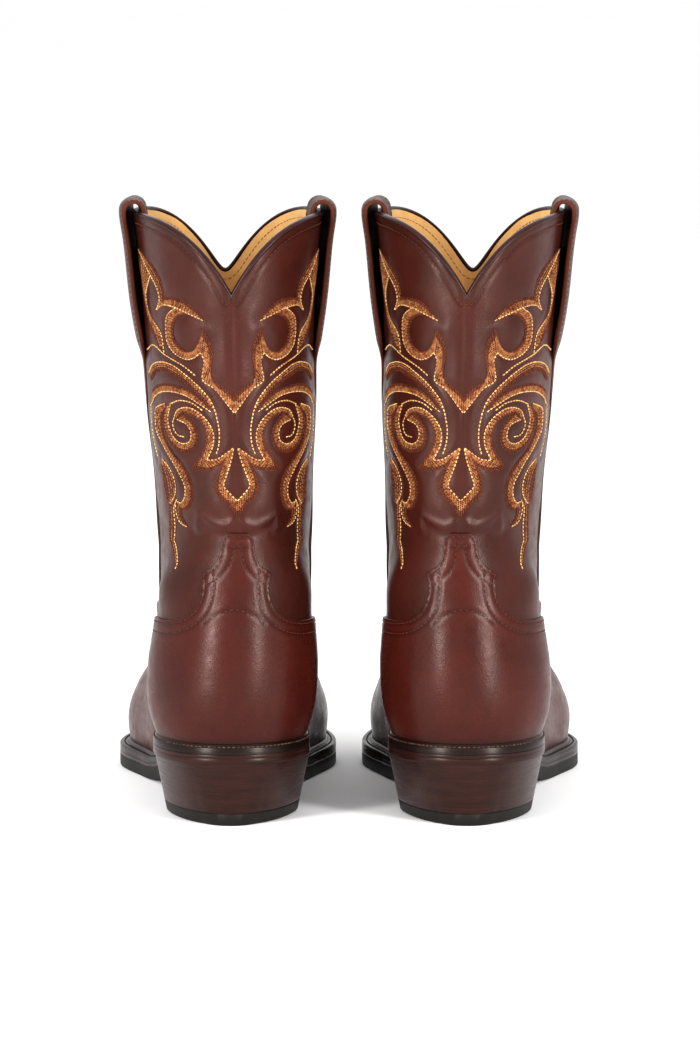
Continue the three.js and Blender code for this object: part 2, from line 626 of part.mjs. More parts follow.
// Nails go down through the insole, the sole and all but the last lift.
const NAIL_TOP = HEEL_SEAT - SEAT_GAP - 0.2;
const NAIL_TIP = HEEL_CAP + LIFT_PITCH * 0.4;
const NAIL_SIDES = 8;
const NAIL_PLACES = [[-15, HEEL_BACK + 22], [15, HEEL_BACK + 22], [0, HEEL_BREAST - 18]];

function heelNail([x, y]) {
  const profile = [[0, NAIL_TIP], [0.5, NAIL_TIP + 0.2], [NAIL_RADIUS, NAIL_TIP + 4], [NAIL_RADIUS, NAIL_TOP - 1],
    [NAIL_HEAD, NAIL_TOP - 0.9], [NAIL_HEAD, NAIL_TOP], [0, NAIL_TOP]];
  const geometry = new THREE.LatheGeometry(profile.map(([r, z]) => new THREE.Vector2(r, z)), NAIL_SIDES);
  return geometry.rotateX(Math.PI / 2).translate(x, y, 0);
}

// ---------------------------------------------------------------- cutting holes

const wasm = await Module();
wasm.setup();

function toSolid(source) {
  const bare = source.clone();
  bare.deleteAttribute('normal');
  bare.deleteAttribute('uv');
  const merged = mergeVertices(bare);
  return new wasm.Manifold(new wasm.Mesh({
    numProp: 3,
    vertProperties: new Float32Array(merged.attributes.position.array),
    triVerts: new Uint32Array(merged.index.array),
  }));
}

function toGeometry(solid) {
  const mesh = solid.getMesh();
  const geometry = new THREE.BufferGeometry();
  geometry.setAttribute('position', new THREE.Float32BufferAttribute(mesh.vertProperties, 3));
  geometry.setIndex(Array.from(mesh.triVerts));
  return geometry;
}

// Clears a way for the heel nails through a piece, wide enough for their heads.
function withNailHoles(geometry, radius = NAIL_RADIUS + NAIL_CLEAR) {
  let solid = toSolid(geometry);
  const depth = HEEL_SEAT + 4 - (NAIL_TIP - 0.5);
  for (const [x, y] of NAIL_PLACES) {
    const tool = new THREE.CylinderGeometry(radius, radius, depth, NAIL_SIDES);
    tool.rotateX(Math.PI / 2).translate(x, y, NAIL_TIP - 0.5 + depth / 2);
    solid = solid.subtract(toSolid(tool));
  }
  return toGeometry(solid);
}

// ---------------------------------------------------------------- finishes

const finish = (color, roughness, metalness = 0) => new THREE.MeshStandardMaterial({ color, roughness, metalness });
const FINISH = {
  shaftLeather: finish(0x542b22, 0.5),
  vampLeather: finish(0x4d221c, 0.42),
  strapLeather: finish(0x58342d, 0.5),
  trimLeather: finish(0x3a1c17, 0.45),
  liningLeather: finish(0xb9804c, 0.7),
  stiffener: finish(0xa08a6a, 0.85),
  insoleLeather: finish(0xb08a60, 0.8),
  steel: finish(0x8a8d90, 0.35, 1),
  cork: finish(0x9a7548, 0.95),
  weltLeather: finish(0x2b2020, 0.55),
  soleLeather: finish(0x3c2421, 0.4),
  outsoleRubber: finish(0x1d1a1a, 0.6),
  heelLeather: finish(0x3c2421, 0.35),
  capRubber: finish(0x242121, 0.65),
};

// ---------------------------------------------------------------- assembly

const { shaftLeather, vampLeather, strapLeather, trimLeather, liningLeather } = FINISH;

const pieces = {
  vamp: [vamp(), vampLeather],
  counter: [counter(), vampLeather],
  front_shaft_panel: [frontShaftPanel(), shaftLeather],
  back_shaft_panel: [backShaftPanel(), shaftLeather],
  outer_side_piping: [piping(1), trimLeather],
  inner_side_piping: [piping(-1), trimLeather],
  outer_pull_strap: [pullStrap(1), strapLeather],
  inner_pull_strap: [pullStrap(-1), strapLeather],
  front_top_beading: [beading(frontAngles), trimLeather],
  back_top_beading: [beading(backAngles), trimLeather],
  front_shaft_lining: [frontLining(), liningLeather],
  back_lining: [backLining(), liningLeather],
  vamp_lining: [vampLining(), liningLeather],
  toe_box: [toeBox(), FINISH.stiffener],
  counter_stiffener: [counterStiffener(), FINISH.stiffener],
  sock_liner: [sockLiner(), liningLeather],
  insole: [withNailHoles(insoleSheet(), NAIL_HEAD + NAIL_CLEAR), FINISH.insoleLeather],
  shank: [shank(), FINISH.steel],
  cork_filler: [corkFiller(), FINISH.cork],
  welt: [welt(), FINISH.weltLeather],
  midsole: [withNailHoles(midsoleSheet()), FINISH.soleLeather],
  outsole: [withNailHoles(outsoleSheet()), FINISH.outsoleRubber],
  heel_cap: [heelCap(), FINISH.capRubber],
};
for (let k = 0; k < HEEL_LIFTS; k += 1) {
  pieces[`heel_lift_${k + 1}`] = [withNailHoles(heelLift(k)), FINISH.heelLeather];
}
NAIL_PLACES.forEach((place, k) => {
  pieces[`heel_nail_${k + 1}`] = [heelNail(place), FINISH.steel];
});

const pair = new THREE.Group();
for (const [name, side] of [['right', 1], ['left', -1]]) {
  const boot = new THREE.Group();
  boot.position.x = side * PAIR_HALF;
  boot.scale.x = side;
  for (const [piece, [geometry, material]] of Object.entries(pieces)) {
    const mesh = new THREE.Mesh(geometry, material);
    mesh.name = `${name}_${piece}`;
    boot.add(mesh);
  }
  pair.add(boot);
}

// The origin lies on the floor, midway along the pair.
const span = new THREE.Box3().setFromObject(pair);
pair.position.y = -(span.min.y + span.max.y) / 2;

export default pair;
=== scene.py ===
"""The looks of a pair of leather western boots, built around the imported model.

Every leather piece, sole layer, thread and rolled edge is made here from one surface,
the last that the boots are drawn over. Shapes are worked out in millimetres in a boot's
own frame: x to its outer side, y from the heel to the toe, z up. They are then placed in
metres, once for the right boot and once, mirrored, for the left one.
"""

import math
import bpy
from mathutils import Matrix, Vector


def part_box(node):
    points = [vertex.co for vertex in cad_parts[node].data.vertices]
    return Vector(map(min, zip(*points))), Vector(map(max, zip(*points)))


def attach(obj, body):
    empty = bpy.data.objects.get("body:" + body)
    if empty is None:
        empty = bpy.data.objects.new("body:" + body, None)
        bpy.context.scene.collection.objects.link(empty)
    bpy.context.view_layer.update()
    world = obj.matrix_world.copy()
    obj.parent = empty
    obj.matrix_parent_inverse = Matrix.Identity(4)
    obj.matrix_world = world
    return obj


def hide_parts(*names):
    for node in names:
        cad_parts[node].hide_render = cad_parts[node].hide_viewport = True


bl_info = {
    "name": "Western boots",
    "version": (1, 0, 0),
    "blender": (4, 5, 0),
    "location": "3D View > Sidebar > Boots",
    "description": "Builds the leather, stitching and soles of a pair of western boots",
    "category": "Add Mesh",
}

import bpy
import numpy as np
from bpy.props import FloatProperty, FloatVectorProperty, PointerProperty
from mathutils import Vector, geometry
from mathutils.kdtree import KDTree

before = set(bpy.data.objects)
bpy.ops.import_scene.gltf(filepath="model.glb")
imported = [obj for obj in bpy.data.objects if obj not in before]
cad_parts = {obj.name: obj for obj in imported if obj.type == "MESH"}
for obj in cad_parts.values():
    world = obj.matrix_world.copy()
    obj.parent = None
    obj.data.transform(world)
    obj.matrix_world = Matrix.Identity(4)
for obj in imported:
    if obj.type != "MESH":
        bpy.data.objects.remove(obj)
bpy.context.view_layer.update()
MM = 0.001

# ------------------------------------------------------------ sizes from the frame

WELT_BOX = [np.array(corner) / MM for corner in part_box("right_welt")]
CAP_BOX = [np.array(corner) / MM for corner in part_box("right_heel_cap")]
PANEL_BOX = [np.array(corner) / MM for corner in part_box("right_front_shaft_panel")]
STRAP_BOX = [np.array(corner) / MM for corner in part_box("right_outer_pull_strap")]
PAIR_HALF = (CAP_BOX[0][0] + CAP_BOX[1][0]) / 2
SOLE_BACK = WELT_BOX[0][1]
SOLE_LENGTH = WELT_BOX[1][1] - SOLE_BACK
HEEL_SEAT = 40.0
SHAFT_RISE = PANEL_BOX[1][2] - HEEL_SEAT
HEEL_CAP = CAP_BOX[1][2] + 0.3
HEEL_BREAST = CAP_BOX[1][1] - SOLE_BACK + 2.0
BOOTS = (("right", 1), ("left", -1))


# ------------------------------------------------------------ curves

def mix(a, b, t):
    return a + (b - a) * t


def smooth(a, b, t):
    k = np.clip((t - a) / (b - a), 0, 1)
    return k * k * (3 - 2 * k)


def through(xs, ys, x):
    """A smooth curve through (xs, ys), straight beyond its ends.

    ys may hold a row of values for each of the xs."""
    xs, x = np.asarray(xs, float), np.asarray(x, float)
    ys = np.asarray(ys, float)
    if ys.ndim == 1:
        ys = np.repeat(ys[:, None], x.size, 1)
    flat = x.ravel()
    run = np.diff(xs)[:, None]
    chord = np.diff(ys, axis=0) / run
    slope = np.empty_like(ys)
    slope[0], slope[-1] = chord[0], chord[-1]
    slope[1:-1] = (chord[1:] * run[:-1] + chord[:-1] * run[1:]) / (run[1:] + run[:-1])
    i = np.clip(np.searchsorted(xs, flat) - 1, 0, len(xs) - 2)
    at = np.arange(flat.size)
    h = xs[i + 1] - xs[i]
    t = (flat - xs[i]) / h
    inside = np.clip(t, 0, 1)
    t2, t3 = inside ** 2, inside ** 3
    value = ((2 * t3 - 3 * t2 + 1) * ys[i, at] + (t3 - 2 * t2 + inside) * h * slope[i, at]
             + (3 * t2 - 2 * t3) * ys[i + 1, at] + (t3 - t2) * h * slope[i + 1, at])
    value += np.minimum(t, 0) * h * slope[0, at] + np.maximum(t - 1, 0) * h * slope[-1, at]
    return value.reshape(x.shape)


def curve(points, count=None, spacing=1.0, corners=()):
    """Evenly spaced points on a smooth curve through points.

    It may turn sharply at the points whose numbers are in corners."""
    points = np.asarray(points, float)
    cuts = [0, *corners, len(points) - 1]
    pieces = []
    for a, b in zip(cuts, cuts[1:]):
        part = points[a:b + 1]
        if len(part) == 2:
            pieces.append(mix(part[0], part[1], np.linspace(0, 1, 30)[:, None]))
            continue
        reach = np.r_[0, np.cumsum(np.linalg.norm(np.diff(part, axis=0), axis=1) ** 0.75)]
        at = np.linspace(0, reach[-1], 24 * len(part))
        pieces.append(np.stack([through(reach, part[:, k], at) for k in range(part.shape[1])], 1))
    dense = np.concatenate([pieces[0], *[piece[1:] for piece in pieces[1:]]])
    return resample(dense, count, spacing)


def resample(points, count=None, spacing=1.0):
    """The same line with evenly spaced points."""
    length = np.r_[0, np.cumsum(np.linalg.norm(np.diff(points, axis=0), axis=1))]
    if count is None:
        count = max(2, int(round(length[-1] / spacing)) + 1)
    at = np.linspace(0, length[-1], count)
    return np.stack([np.interp(at, length, points[:, k]) for k in range(points.shape[1])], 1)


def ripple(points, size, seed):
    """Smooth waves over points, between about -1 and 1, from sines that run every way."""
    turn = np.random.default_rng(seed)
    total = np.zeros(len(points))
    for _ in range(7):
        way = turn.normal(size=3)
        way *= turn.uniform(0.6, 1.6) / (np.linalg.norm(way) * size)
        total += np.sin(points @ way * 2 * math.pi + turn.uniform(0, 2 * math.pi))
    return total / 3.5


# ------------------------------------------------------------ the last

WELT_HEEL, WELT_WAIST, WELT_FORE = 4.5, 5.0, 8.0
BALL_SEAT, TOE_SPRING = 12.5, 4.7
THROAT_WIDTH, THROAT_DEPTH = 77.0, 123.0
SHAFT_WIDTH, SHAFT_DEPTH = 94.8, 141.0
HEEL_BACK = WELT_HEEL
TOE_TIP = SOLE_LENGTH - WELT_FORE
SEAM_Y = HEEL_BACK + THROAT_DEPTH / 2
THROAT_FRONT = HEEL_BACK + THROAT_DEPTH
THROAT_LEVEL = 98.0
BALL_FROM, BALL_TO = 156.8, 218.3     # the tread is flat between these
SHAFT_SHIFT = (-1.0, 4.6)             # the shaft's centre line, at the back and at the front
AXIS_SHIFT = [0, 0, 0.5, 2, 4, 5, 3, 0]
AT = [0, 0.1, 0.25, 0.4, 0.55, 0.7, 0.85, 1]


def seat(y):
    """Height of the feather line along the boot."""
    fall = np.clip((y - HEEL_BREAST) / (BALL_FROM - HEEL_BREAST), 0, 1)
    spring = np.maximum(0, y - BALL_TO) / (TOE_TIP - BALL_TO)
    return mix(BALL_SEAT, HEEL_SEAT, (1 + np.cos(math.pi * fall)) / 2) + TOE_SPRING * spring ** 2


def ahead(share):
    """A place between the throat's front and the toe's tip."""
    return mix(THROAT_FRONT, TOE_TIP, share)


# Rings of the foot: level, back, front, half widths at the stations of AT, and lifts there.
RINGS = [
    (0, HEEL_BACK, TOE_TIP, [66, 55, 35.2, 29, 38.4, 52.9, 55.5, 49], [0] * 8),
    (12, HEEL_BACK - 3, TOE_TIP + 3, [69, 60.5, 39.8, 32, 40.5, 54.3, 57.5, 49.5], [12] * 7 + [12.5]),
    (35, HEEL_BACK - 4.5, ahead(0.957), [68, 63.3, 44.5, 35.6, 40.5, 51, 53.5, 46],
     [35, 35, 34.5, 33, 31.5, 29.5, 28, 28.5]),
    (60, HEEL_BACK - 3, ahead(0.79), [61, 59, 44.2, 38.4, 38.6, 42.5, 44, 39],
     [60, 60, 58.5, 55.5, 52.5, 50, 46.5, 44]),
    (78, HEEL_BACK, ahead(0.515), [54, 54.5, 43.3, 39.3, 38, 38.8, 38.4, 36.5],
     [78, 78, 77.5, 75.5, 73, 70, 66.5, 62.5]),
    (88, HEEL_BACK + 1.5, ahead(0.285), [47, 46.5, 41.5, 38.8, 37.8, 37.7, 37.8, 37],
     [88, 88, 87.5, 86.5, 86.5, 87, 88, 89]),
]
# Level rings of the shaft: level, back, length and the share from the ankle's width to the top's.
for level, lean, length, share in [(98, 2, ahead(0.095) - HEEL_BACK - 2, -0.03), (125, 0.5, 122.5, 0),
                                   (160, -2, 126, 0.19), (205, -6, 133.8, 0.41),
                                   (235, -8.5, 138.5, 0.68), (260, -11, SHAFT_DEPTH, 1)]:
    high = THROAT_LEVEL + (level - THROAT_LEVEL) * (SHAFT_RISE - THROAT_LEVEL) / (258 - THROAT_LEVEL)
    width = mix(THROAT_WIDTH, SHAFT_WIDTH, share) / 2
    RINGS.append((high, HEEL_BACK + lean, HEEL_BACK + lean + length, [width] * 8, None))
LEVELS = np.array([ring[0] for ring in RINGS])
# The leg leans in towards the other boot, and its sides are pressed slimmer over the heel.
SETTLE_LEVELS = (12, 35, 60, 78, 98, 125, 160, 205, 260)
LEAN_IN = (0, 0.9, 1.8, 2.2, 2.9, 2.7, 1.7, 0.3, 0)
SLIMMER = (0, 1.8, 1.8, 0.8, 0.4, 0, -1.0, -0.3, 0)


def face(share, side, level):
    """Points of the shaft panels' outer face, at a share of the boot's length, on one side, at a level."""
    share = np.clip(share, 0, 1)
    places = []
    for high, back, front, wide, lift in RINGS:
        y = mix(back, front, share)
        half = 2 * np.sqrt(share * (1 - share)) * through(AT, wide, share)
        rise = smooth(35, THROAT_LEVEL, high)
        shift = through(AT, AXIS_SHIFT, share) * (1 - rise) + mix(*SHAFT_SHIFT, share) * rise
        leg = smooth(0.85, 0.6, share) if lift is not None else 1
        shift = shift - np.interp(high, SETTLE_LEVELS, LEAN_IN) * leg
        half = half - np.interp(high, SETTLE_LEVELS, SLIMMER) * leg * np.sqrt(4 * share * (1 - share))
        z = HEEL_SEAT + high + 0 * y if lift is None else seat(y) + through(AT, lift, share)
        places.append(np.stack([shift + side * half, y, z]))
    places = np.array(places)
    return np.stack([through(LEVELS, places[:, k], level) for k in range(3)], 1)


def half_turn(angle):
    """An angle between -180 and 180.

    Angles go round the boot from 0 at the back, through 90 at the outer side."""
    return (np.asarray(angle, float) + 180) % 360 - 180


def spot(angle, level):
    """Points of the panels' outer face at angles and levels, also below and beyond the panels."""
    angle = half_turn(angle)
    back = through(LEVELS, [ring[1] for ring in RINGS], level)
    front = through(LEVELS, [ring[2] for ring in RINGS], level)
    seam = (SEAM_Y - back) / (front - back)
    c = np.cos(np.radians(np.abs(angle)))
    share = np.where(np.abs(angle) <= 90, seam * (1 - c), 1 - (1 - seam) * (1 + c))
    return face(share, np.where(angle < 0, -1, 1), level)


def surface(angle, level, depth=0.0):
    """(points, outward normals) of the boot, off the panels' outer face by depth."""
    angle, level = np.broadcast_arrays(half_turn(angle), np.asarray(level, float))
    step = 0.4
    side = np.where(angle < 0, -1, 1)
    inward = np.clip(np.abs(angle), 0.5, 179.5)
    around = spot(side * (inward + step), level) - spot(side * (inward - step), level)
    up = spot(angle, level + step) - spot(angle, level - step)
    out = np.cross(around, up) * side[:, None]
    flat = (np.abs(angle) < 0.5) | (np.abs(angle) > 179.5)
    out[flat, 0] = 0
    out /= np.linalg.norm(out, axis=1)[:, None]
    return spot(angle, level) + out * np.broadcast_to(depth, angle.shape)[:, None], out


def angle_at(distance, level):
    """The angle at a distance along the boot from the side seam, on the shaft."""
    back = through(LEVELS, [ring[1] for ring in RINGS], level)
    front = through(LEVELS, [ring[2] for ring in RINGS], level)
    c = np.where(distance < 0, -distance / (SEAM_Y - back), -distance / (front - SEAM_Y))
    return np.degrees(np.arccos(c))


# ------------------------------------------------------------ the upper's lines

YOKE = 58.0
TAB_RISE, TONGUE_RISE = 105.0, 114.0
BACK_NOTCH, FRONT_NOTCH = 37.5, 41.5
EDGE_SWEEP = 9.0
SEAM_HALF = 0.08
LEATHER, LINING = 1.6, 0.95
STIFFENER, STIFFENER_TOP = 1.5, 46.0
TOP_ROW = 4.2                         # from the top line down to its stitch row
FINE_THREAD = 0.22                    # radius of the thinner seam thread
RIM_DARK = 0.35                       # how much darker a piece's cut edge is
SOFT_EDGE = math.radians(40)          # sharper bends than this keep a hard edge
LINING_FACE = -LEATHER - 0.1
LINING_BACK = LINING_FACE - LINING
OVERLAY = 1.8                         # how far the vamp's and counter's faces stand off the panels


def top_line(angle):
    """Top edge of the shaft: a sharp V behind, a rounder one in front, and a flat peak at each side."""
    a = np.abs(half_turn(angle))
    rise = np.sin(np.radians(a))
    front = a > 90
    soft = np.where(front, np.sqrt(rise ** 2 + 0.09 ** 2 * (1 - rise)), rise)
    return SHAFT_RISE - np.where(front, FRONT_NOTCH, BACK_NOTCH) * np.maximum(0, 1 - soft) ** 2.1


def counter_edge(level):
    """Angle of the seam between the counter and the vamp."""
    return 90 + EDGE_SWEEP * (1 - np.minimum(1, np.asarray(level, float) / YOKE))


def overlay_face(level):
    """The overlays thin out towards their top edges."""
    return mix(2.5, OVERLAY, smooth(25, YOKE - 4, np.asarray(level, float)))


# The counter's top edge, one side: angle and level, from the tab's middle to the side seam.
TAB = [(0, TAB_RISE), (5, TAB_RISE), (9.5, TAB_RISE - 0.7), (12, TAB_RISE - 3), (12.6, TAB_RISE - 7),
       (13.2, TAB_RISE - 11.5), (16, TAB_RISE - 16), (20.5, TAB_RISE - 18.5), (25, TAB_RISE - 20.6)]
SIDE_CURVE = [(25, TAB_RISE - 20.6), (22.8, TAB_RISE - 24.5), (22.6, TAB_RISE - 30), (26, TAB_RISE - 37),
              (34, TAB_RISE - 42.3), (46, TAB_RISE - 45), (62, TAB_RISE - 45.6), (90, YOKE)]
# The vamp's top edge, one side, from the side seam to the tongue's tip.
VAMP_CURVE = [(90, YOKE), (98, YOKE + 10), (108, YOKE + 19), (122, YOKE + 26.5), (136, YOKE + 30.5),
              (147, YOKE + 32)]
TONGUE = [(147, YOKE + 32), (150, TONGUE_RISE - 17), (153, TONGUE_RISE - 13), (159, TONGUE_RISE - 11),
          (165, TONGUE_RISE - 6), (172, TONGUE_RISE - 1), (180, TONGUE_RISE)]


def counter_top():
    """The counter's whole top edge, from the outer side seam over the tab to the inner one."""
    half = np.concatenate([curve(TAB, spacing=0.5), curve(SIDE_CURVE, spacing=0.5)[1:]])
    return np.concatenate([half[::-1], half[1:] * [-1, 1]])


def vamp_top():
    """The vamp's whole top edge, from the outer side seam over the tongue to the inner one."""
    half = np.concatenate([curve(VAMP_CURVE, spacing=0.5), curve(TONGUE, spacing=0.5)[1:]])
    return np.concatenate([half, (half[:-1] * [-1, 1] + [360, 0])[::-1]])


def seam_edge(gap, low=0.3):
    """The front seam of the counter from the welt to the yoke, moved forward by an angle."""
    levels = np.linspace(low, YOKE, 60)
    return np.stack([counter_edge(levels) + gap, levels], 1)


# ------------------------------------------------------------ meshes

def new_object(name, points, faces, material, shade=True):
    mesh = bpy.data.meshes.new(name)
    mesh.from_pydata(points.tolist(), [], faces)
    mesh.validate()
    mesh.materials.append(material)
    if shade:
        mesh.shade_smooth()
        mesh.set_sharp_from_angle(angle=SOFT_EDGE)
    obj = bpy.data.objects.new(name, mesh)
    bpy.context.scene.collection.objects.link(obj)
    return obj


def add_pair(name, points, faces, material, replaced=(), dark=None, second=None):
    """One piece on each boot.

    dark shades the leather at each point, and second is (material, face numbers)."""
    for boot, side in BOOTS:
        placed = (points * [side, 1, 1] + [side * PAIR_HALF, SOLE_BACK, 0]) * MM
        turned = faces if side > 0 else [tuple(reversed(corner)) for corner in faces]
        obj = new_object(f"{boot}_{name}", placed, turned, material)
        if dark is not None:
            # A point attribute of darkening: painted shade, and the darker cut edges.
            layer = obj.data.attributes.new("burnish", "FLOAT", "POINT")
            layer.data.foreach_set("value", np.asarray(dark, np.float32))
        if second is not None:
            obj.data.materials.append(second[0])
            for k in second[1]:
                obj.data.polygons[k].material_index = 1
        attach(obj, "root")
        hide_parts(*[f"{boot}_{node}" for node in replaced])


def inside(points, outline):
    """Which points lie within a closed outline."""
    x, y = points[:, :1], points[:, 1:]
    a, b = outline, np.roll(outline, -1, 0)
    crosses = (a[:, 1] > y) != (b[:, 1] > y)
    rise = np.where(b[:, 1] == a[:, 1], 1, b[:, 1] - a[:, 1])
    reach = a[:, 0] + (y - a[:, 1]) / rise * (b[:, 0] - a[:, 0])
    return (crosses & (x < reach)).sum(1) % 2 == 1


def cut_piece(outline, scale, spacing):
    """Triangles over an outline in angle and level. The outline's own points come first."""
    flat = outline * [scale, 1]
    low, high = flat.min(0), flat.max(0)
    rows = np.arange(low[1], high[1], spacing * 0.87)
    grid = [np.stack([np.arange(low[0], high[0], spacing) + (k % 2) * spacing / 2,
                      np.full(len(np.arange(low[0], high[0], spacing)), row)], 1)
            for k, row in enumerate(rows)]
    grid = np.concatenate(grid)
    grid = np.concatenate([part[inside(part, flat)] for part in np.array_split(grid, 40) if len(part)])
    tree = KDTree(len(flat))
    for k, (x, y) in enumerate(flat):
        tree.insert((x, y, 0), k)
    tree.balance()
    clear = [tree.find((x, y, 0))[2] > spacing * 0.55 for x, y in grid]
    points = np.concatenate([flat, grid[clear]])
    edges = [(k, (k + 1) % len(flat)) for k in range(len(flat))]
    made = geometry.delaunay_2d_cdt([Vector(p) for p in points], edges, [], 0, 1e-6, False)
    points = np.array([tuple(p) for p in made[0]])
    triangles = np.array([tuple(f) for f in made[2]])
    kept = np.concatenate([inside(part, flat) for part in np.array_split(points[triangles].mean(1), 60)])
    return points / [scale, 1], [tuple(f) for f in triangles[kept].tolist()]


def leather(outline, outer, thick, scale=1.0, spacing=1.5, edge=0.45, relief=None, lines=(),
            dark=None):
    """(points, faces, darkening) of a leather piece with a rounded edge. The darkening holds painted shade
    along the stitch rows, what dark adds, and the darker cut edge.

    outline and relief's arguments are in angles and levels. outer is the depth of its face, a
    number or a function of the level. lines are rows of points that stitches sink into."""
    flat = resample(np.concatenate([outline, outline[:1]]) * [scale, 1], spacing=spacing)[:-1]
    outline = flat / [scale, 1]
    flat = outline * [scale, 1]
    if ((flat[:, 0] * np.roll(flat[:, 1], -1)) - np.roll(flat[:, 0], -1) * flat[:, 1]).sum() < 0:
        outline, flat = outline[::-1], flat[::-1]
    run = np.roll(flat, -1, 0) - np.roll(flat, 1, 0)
    inward = np.stack([-run[:, 1], run[:, 0]], 1) / np.linalg.norm(run, axis=1)[:, None]
    inset = (flat + inward * edge) / [scale, 1]
    at, triangles = cut_piece(inset, scale, spacing)
    count, rim = len(at), len(outline)
    depth = outer(at[:, 1]) if callable(outer) else np.full(count, float(outer))
    base, _ = surface(at[:, 0], at[:, 1], depth)
    if relief is not None:
        depth = depth + relief(at[:, 0], at[:, 1])
    shade = np.zeros(count)
    near = distance_to(base, lines)
    if near is not None:
        depth = depth - 0.24 * np.exp(-(near / 0.8) ** 2) + 0.07 * np.exp(-((near - 2.2) / 1.2) ** 2)
        # Painted shade: the leather is darkened along the stitch rows, where it sinks.
        shade += 0.75 * np.exp(-(near / 1.0) ** 2)
    depth = depth + 0.1 * ripple(base, 26, 3)
    face_points, _ = surface(at[:, 0], at[:, 1], depth)
    rims = []
    for turn in (30, 60, 90):
        bend = math.radians(turn)
        place = mix(inset, outline, math.sin(bend))
        rims.append(surface(place[:, 0], place[:, 1], depth[:rim] - edge * (1 - math.cos(bend)))[0])
    rims.append(surface(outline[:, 0], outline[:, 1], depth[:rim] - thick + edge * 0.3)[0])
    back, _ = surface(at[:, 0], at[:, 1], depth - thick)
    points = np.concatenate([face_points, *rims, back])
    faces = [tuple(t) for t in triangles]
    rings = [0, *[count + rim * k for k in range(len(rims))], count + rim * len(rims)]
    last = count + rim * len(rims)
    for a, b in zip(rings, rings[1:]):
        for k in range(rim):
            j = (k + 1) % rim
            faces.append((a + j, a + k, b + k, b + j))
    faces += [tuple(last + v for v in reversed(t)) for t in triangles]
    faces = outward(points, faces)
    if dark is not None:
        shade = shade + dark(at[:, 0], at[:, 1])
    burnish = np.concatenate([shade, *[shade[:rim] + RIM_DARK] * len(rims), shade])
    return points, faces, np.clip(burnish, 0, 1)


def outward(points, faces):
    """The faces, turned so that the closed mesh that they make faces out."""
    first = np.array([f[:3] for f in faces])
    p, q, r = (points[first[:, k]] - points.mean(0) for k in range(3))
    volume = np.einsum("ij,ij->i", p, np.cross(q, r)).sum()
    return faces if volume > 0 else [tuple(reversed(f)) for f in faces]


def tree_of(marks):
    tree = KDTree(len(marks))
    for k, mark in enumerate(marks.tolist()):
        tree.insert(mark, k)
    tree.balance()
    return tree


def distance_to(points, lines):
    """How far each point is from the nearest of the lines, or None where there are none."""
    if isinstance(lines, (list, tuple)):
        if not lines:
            return None
        lines = tree_of(np.concatenate(lines))
    return np.array([lines.find(p)[2] for p in points.tolist()])


def swept(centres, across, up, section, closed=False):
    """A skin of a section, in the axes across and up, swept along centres. Its ends are capped."""
    section = np.asarray(section, float)
    if section.ndim == 2:
        section = np.repeat(section[None], len(centres), 0)
    points = centres[:, None] + across[:, None] * section[..., :1] + up[:, None] * section[..., 1:]
    return skin(points, closed)


def skin(rings, closed=False):
    """Faces through rings of points, which are joined end to end when closed."""
    steps, count = rings.shape[:2]
    faces = []
    for i in range(steps if closed else steps - 1):
        a, b = i * count, (i + 1) % steps * count
        for j in range(count):
            k = (j + 1) % count
            faces.append((a + j, a + k, b + k, b + j))
    if not closed:
        faces.append(tuple(reversed(range(count))))
        faces.append(tuple(range((steps - 1) * count, steps * count)))
    points = rings.reshape(-1, 3)
    return points, outward(points, faces)


def oval(wide, high, count=12):
    turn = np.linspace(0, 2 * math.pi, count, endpoint=False)
    return np.stack([wide * np.cos(turn), high * np.sin(turn)], 1)


def unit(vectors):
    return vectors / np.linalg.norm(vectors, axis=1)[:, None]


# ------------------------------------------------------------ stitches

THREAD_SIDES = 6


def thread(line, out, pitch, length, radius, jitter=0.0, seed=0):
    """(points, faces) of a row of stitches on a line whose outward normals are out.

    Each stitch is a round arch whose two ends go down into the leather."""
    length_along = np.r_[0, np.cumsum(np.linalg.norm(np.diff(line, axis=0), axis=1))]
    count = int(length_along[-1] / pitch)
    if count < 1:
        return np.zeros((0, 3)), []
    turn = np.random.default_rng(seed)
    middle = (np.arange(count) + 0.5) * length_along[-1] / count + turn.normal(0, jitter, count)

    def place(at):
        return np.stack([np.interp(at, length_along, line[:, k]) for k in range(3)], 1)

    start, end = place(middle - length / 2), place(middle + length / 2)
    normal = unit(np.stack([np.interp(middle, length_along, out[:, k]) for k in range(3)], 1))
    way = end - start
    span = np.linalg.norm(way, axis=1)
    keep = span > length * 0.3
    start, end, normal, way, span = start[keep], end[keep], normal[keep], way[keep], span[keep]
    way = way / span[:, None]
    side = np.cross(way, normal)
    slant = turn.normal(0, jitter, len(way))[:, None] * side
    start, end = start - slant, end + slant
    rings = [start - normal * radius * 0.9]
    for share in (0.16, 0.84):
        centre = mix(start, end, share)
        for k in range(THREAD_SIDES):
            bend = 2 * math.pi * k / THREAD_SIDES
            rings.append(centre + radius * (side * math.cos(bend) + normal * math.sin(bend)))
    rings.append(end - normal * radius * 0.9)
    points = np.stack(rings, 1).reshape(-1, 3)
    size = 2 + 2 * THREAD_SIDES
    pattern = []
    for k in range(THREAD_SIDES):
        j = (k + 1) % THREAD_SIDES
        pattern += [(0, 1 + k, 1 + j), (1 + k, 1 + k + THREAD_SIDES, 1 + j + THREAD_SIDES, 1 + j),
                    (size - 1, 1 + j + THREAD_SIDES, 1 + k + THREAD_SIDES)]
    faces = [tuple(base * size + v for v in corner) for base in range(len(start)) for corner in pattern]
    return points, faces


def joined(parts):
    """Several (points, faces) as one."""
    points, faces, base = [], [], 0
    for more, corners in parts:
        if len(more) == 0:
            continue
        points.append(more)
        faces += [tuple(base + v for v in corner) for corner in corners]
        base += len(more)
    return np.concatenate(points), faces


def on_surface(line, depth, relief=None):
    """A line of angles and levels as (points, normals), lifted by depth and the leather's relief."""
    height = depth(line[:, 1]) if callable(depth) else np.full(len(line), float(depth))
    if relief is not None:
        height = height + relief(line[:, 0], line[:, 1])
    return surface(line[:, 0], line[:, 1], height)


